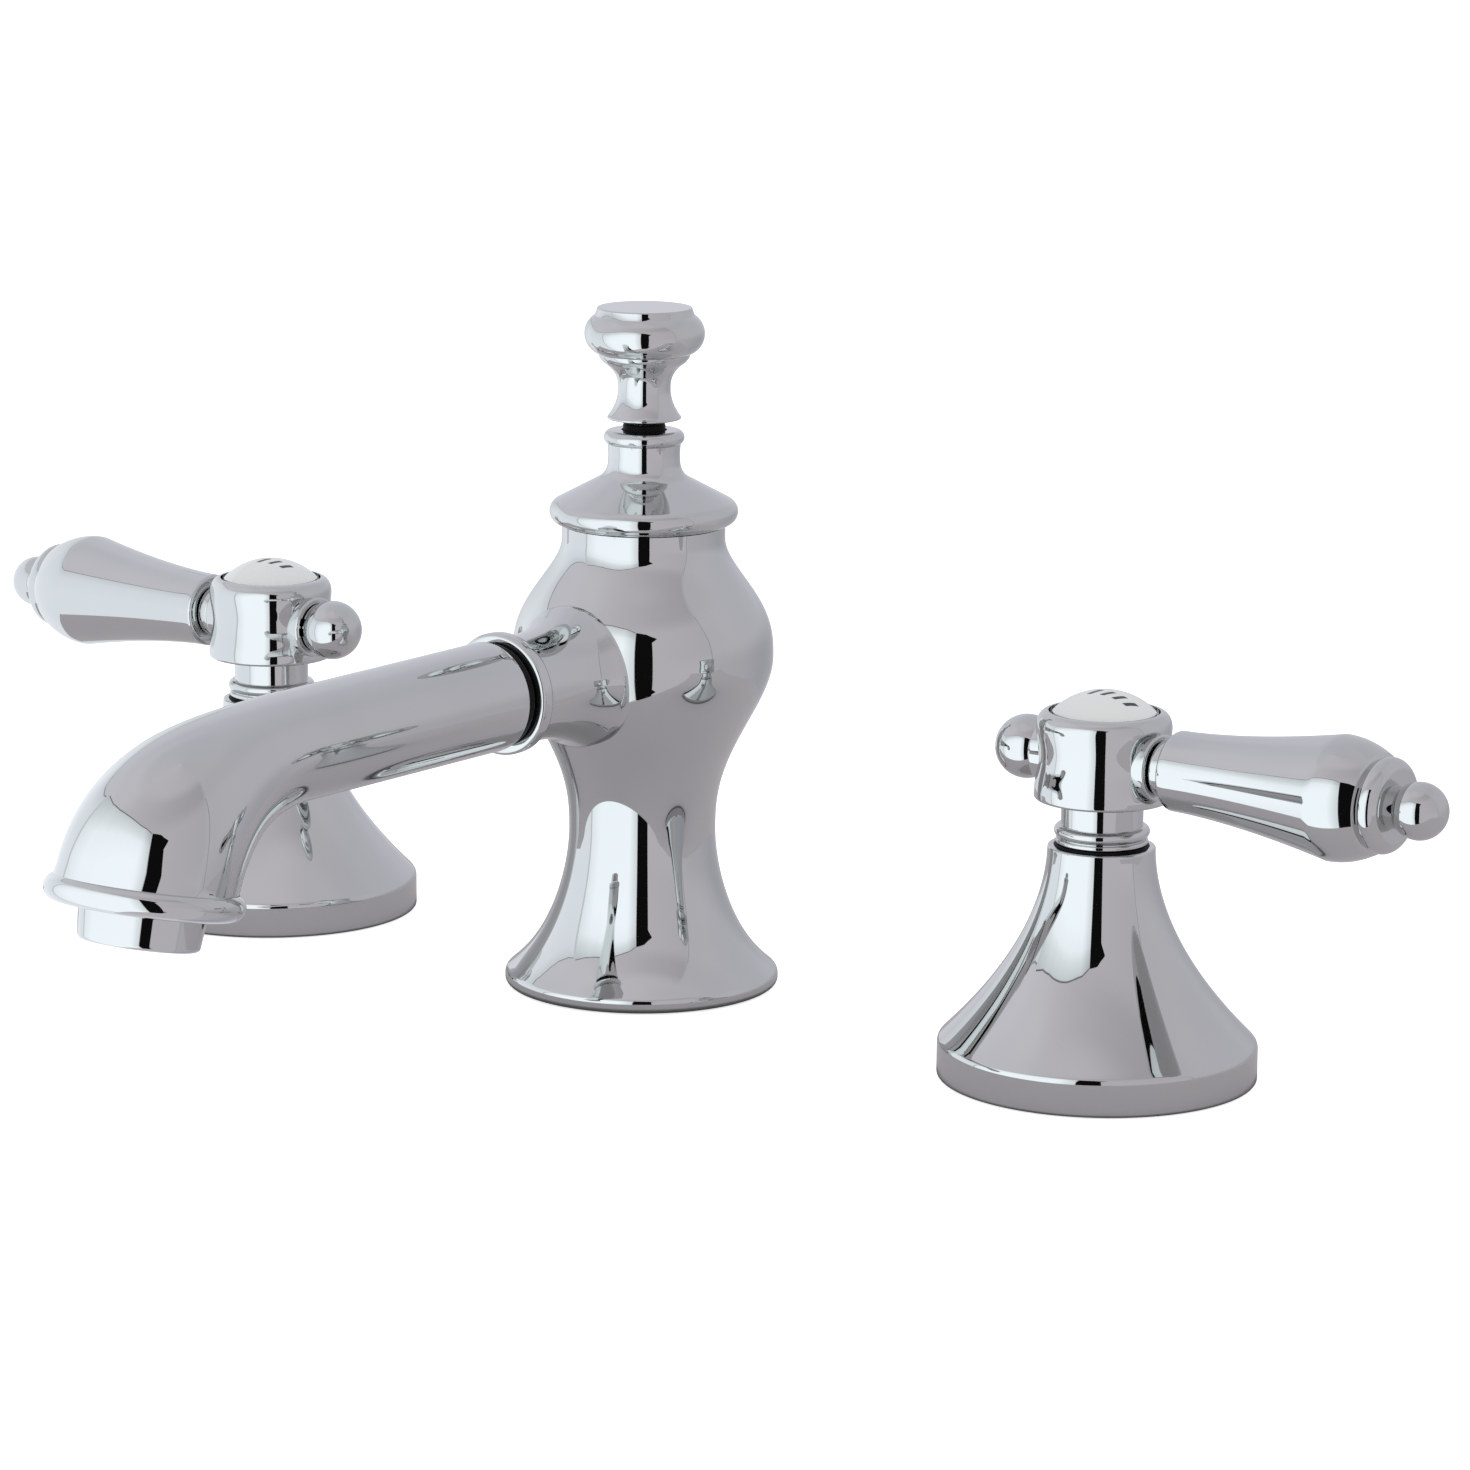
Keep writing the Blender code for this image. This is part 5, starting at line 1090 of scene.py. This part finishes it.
slitBlack = (0.006, 0.006, 0.006)
cards = {
    "window": {
        "stations": [
            (-0.060, 0.505, -0.45, 0.454), (-0.095, 0.486, -0.45, 0.465),
            (-0.130, 0.460, -0.45, 0.471), (-0.167, 0.427, -0.45, 0.462),
            (-0.200, 0.385, -0.45, 0.448), (-0.226, 0.332, -0.45, 0.422),
            (-0.243, 0.270, -0.45, 0.378), (-0.252, 0.205, -0.45, 0.325),
            (-0.256, 0.150, -0.45, 0.278), (-0.259, 0.085, -0.45, 0.236),
            (-0.260, 0.028, -0.45, 0.215),
        ],
        "colour": (1.37, 1.45, 1.52),
        "along": [(0, 0.72), (0.1, 0.82), (0.25, 1), (0.86, 1), (1, 0.86)],
        "upward": [(0.76, 1), (0.87, 0.93), (0.92, 0.78), (1, 0.62)],
    },
    "windowHem": {
        "stations": [
            (-0.060, 0.502, 0.453, 0.462), (-0.094, 0.483, 0.464, 0.473),
            (-0.129, 0.457, 0.470, 0.479), (-0.166, 0.424, 0.461, 0.470),
            (-0.199, 0.382, 0.447, 0.455), (-0.224, 0.330, 0.421, 0.429),
            (-0.241, 0.268, 0.377, 0.384), (-0.250, 0.203, 0.324, 0.330),
            (-0.253, 0.148, 0.277, 0.282), (-0.256, 0.084, 0.235, 0.239),
            (-0.257, 0.028, 0.214, 0.218),
        ],
        "colour": (0.20, 0.21, 0.21),
    },
    "post": {
        "stations": [(-0.256, 0.031, -0.45, 0.214), (-0.256, 0.019, -0.45, 0.200)],
        "colour": (0.80, 0.83, 0.85),
    },
    "sideWindow": {
        "stations": [
            (-0.260, 0.020, -0.45, 0.200), (-0.261, -0.010, -0.45, 0.186),
            (-0.260, -0.060, -0.45, 0.180), (-0.256, -0.105, -0.45, 0.188),
            (-0.250, -0.150, -0.45, 0.205), (-0.235, -0.220, -0.45, 0.220),
        ],
        "colour": (1.08, 1.13, 1.20),
        "upward": [(0.80, 1), (0.93, 0.94), (1, 0.80)],
    },
    "sideHem": {
        "stations": [
            (-0.257, 0.020, 0.199, 0.203), (-0.258, -0.010, 0.185, 0.189),
            (-0.257, -0.059, 0.179, 0.183), (-0.253, -0.104, 0.187, 0.191),
            (-0.247, -0.148, 0.204, 0.208), (-0.233, -0.218, 0.219, 0.223),
            (-0.188, -0.297, 0.221, 0.225), (-0.129, -0.347, 0.199, 0.203),
        ],
        "colour": (0.38, 0.39, 0.40),
    },
    "sideFar": {
        "stations": [
            (-0.235, -0.220, -0.45, 0.220), (-0.190, -0.300, -0.45, 0.222),
            (-0.130, -0.350, -0.45, 0.200),
        ],
        "colour": (1.00, 1.04, 1.09),
        "along": [(0, 1.08), (1, 0.8)],
        "upward": [(0.80, 1), (0.93, 0.94), (1, 0.80)],
    },
    "slit": {
        "stations": [
            (-0.054, 0.495, -0.42, 0.452), (0.040, 0.495, -0.42, 0.425),
            (0.080, 0.495, -0.36, 0.395),
        ],
        "colour": slitBlack,
    },
    "slitTips": {
        "stations": [(0.078, 0.494, 0.310, 0.396), (0.124, 0.494, 0.365, 0.372)],
        "colour": slitBlack,
    },
    "slitFoot": {
        "stations": [(0.078, 0.494, -0.300, -0.200), (0.110, 0.494, -0.255, -0.245)],
        "colour": slitBlack,
    },
    "rightSeam": {
        "stations": [(0.4415, 0.232, -0.40, 0.56), (0.4435, 0.226, -0.40, 0.56)],
        "colour": (0.40, 0.40, 0.41),
    },
}

tableTop = {
    "low": (-0.19, -0.069), "high": (0.40, 0.14), "height": -0.0001, "colour": (0.635, 0.60, 0.635),
    "shadeColour": (0.03, 0.04, 0.036), "shadeWidth": 0.0025, "shadeLeast": 0.35,
}


def makeTable():
    # matt, with painted shade: darker close to each foot, as a table in the object's own shade is
    t = tableTop
    low, high = Vector(t["low"] + (t["height"],)), Vector(t["high"] + (t["height"],))
    table = addPrimitive("plane", "table", size=1, location=(low + high) / 2)
    bpy.ops.transform.resize(value=(high.x - low.x, high.y - low.y, 1))
    bpy.ops.object.mode_set(mode="OBJECT")
    bpy.ops.object.transform_apply(location=True, rotation=True, scale=True)
    matt = bpy.data.materials.new("tableMatt")
    matt.use_nodes = True
    tree = matt.node_tree
    nodes, links = tree.nodes, tree.links
    shader = nodes["Principled BSDF"]
    shader.inputs["Roughness"].default_value = 0.8
    shader.inputs["Specular IOR Level"].default_value = 0
    where = nodes.new("ShaderNodeTexCoord")
    shade = 1
    feet = (
        (hotAxis, bellSizes["radius"]), (coldAxis, bellSizes["radius"]),
        (spoutAxis, vaseSizes["foot"]),
    )
    for axis, radius in feet:
        apart = nodes.new("ShaderNodeVectorMath")
        apart.operation = "DISTANCE"
        apart.inputs[1].default_value = axis
        links.new(where.outputs["Object"], apart.inputs[0])
        near = addRange(
            tree, apart.outputs["Value"], radius, radius + t["shadeWidth"], t["shadeLeast"],
            kind="SMOOTHSTEP",
        )
        shade = addMath(tree, "MULTIPLY", near, shade)
    # painted shade: the dark shade colour blended in close to the feet
    colour = addBlend(tree, shade, t["shadeColour"], t["colour"])
    links.new(colour, shader.inputs["Base Color"])
    table.data.materials.append(matt)
    hideFromCamera(table)


def seenStraight(tree):
    # 1 for what the camera, a mirror or glass shows, 0 for light that falls on the object
    path = tree.nodes.new("ShaderNodeLightPath")
    total = path.outputs["Is Camera Ray"]
    for kind in ("Is Glossy Ray", "Is Transmission Ray"):
        total = addMath(tree, "ADD", total, path.outputs[kind], clamp=True)
    return total


floorSet = {"radius": 3.0, "height": -0.0002, "colour": (0.8, 0.8, 0.8), "glow": 0.75}


def makeFloor():
    floor = addPrimitive(
        "circle", "floor", vertices=96, radius=floorSet["radius"],
        location=(0, 0, floorSet["height"]), fill_type="NGON",
    )
    bpy.ops.object.mode_set(mode="OBJECT")
    bpy.ops.object.transform_apply(location=True, rotation=True, scale=True)
    paper = bpy.data.materials.new("paper")
    paper.use_nodes = True
    tree = paper.node_tree
    shader = tree.nodes["Principled BSDF"]
    shader.inputs["Base Color"].default_value = (*floorSet["colour"], 1)
    shader.inputs["Roughness"].default_value = 0.9
    shader.inputs["Specular IOR Level"].default_value = 0
    shader.inputs["Emission Color"].default_value = (1, 1, 1, 1)
    share = addMath(tree, "MULTIPLY", seenStraight(tree), floorSet["glow"])
    tree.links.new(share, shader.inputs["Emission Strength"])
    paper.cycles.emission_sampling = "NONE"
    floor.data.materials.append(paper)
    floor.visible_glossy = False


def makeWorld():
    world = bpy.data.worlds.new("studioWorld")
    bpy.context.scene.world = world
    world.use_nodes = True
    tree = world.node_tree
    back = tree.nodes["Background"]
    back.inputs["Color"].default_value = (1, 1, 1, 1)
    strength = addRange(tree, seenStraight(tree), 0, 1, studio["world"], 1)
    tree.links.new(strength, back.inputs["Strength"])


makeTent()
for name, settings in cards.items():
    hangCard(name, **settings)
makeTable()
makeFloor()
makeWorld()
bpy.context.scene.view_settings.view_transform = "Standard"
print("studio made")
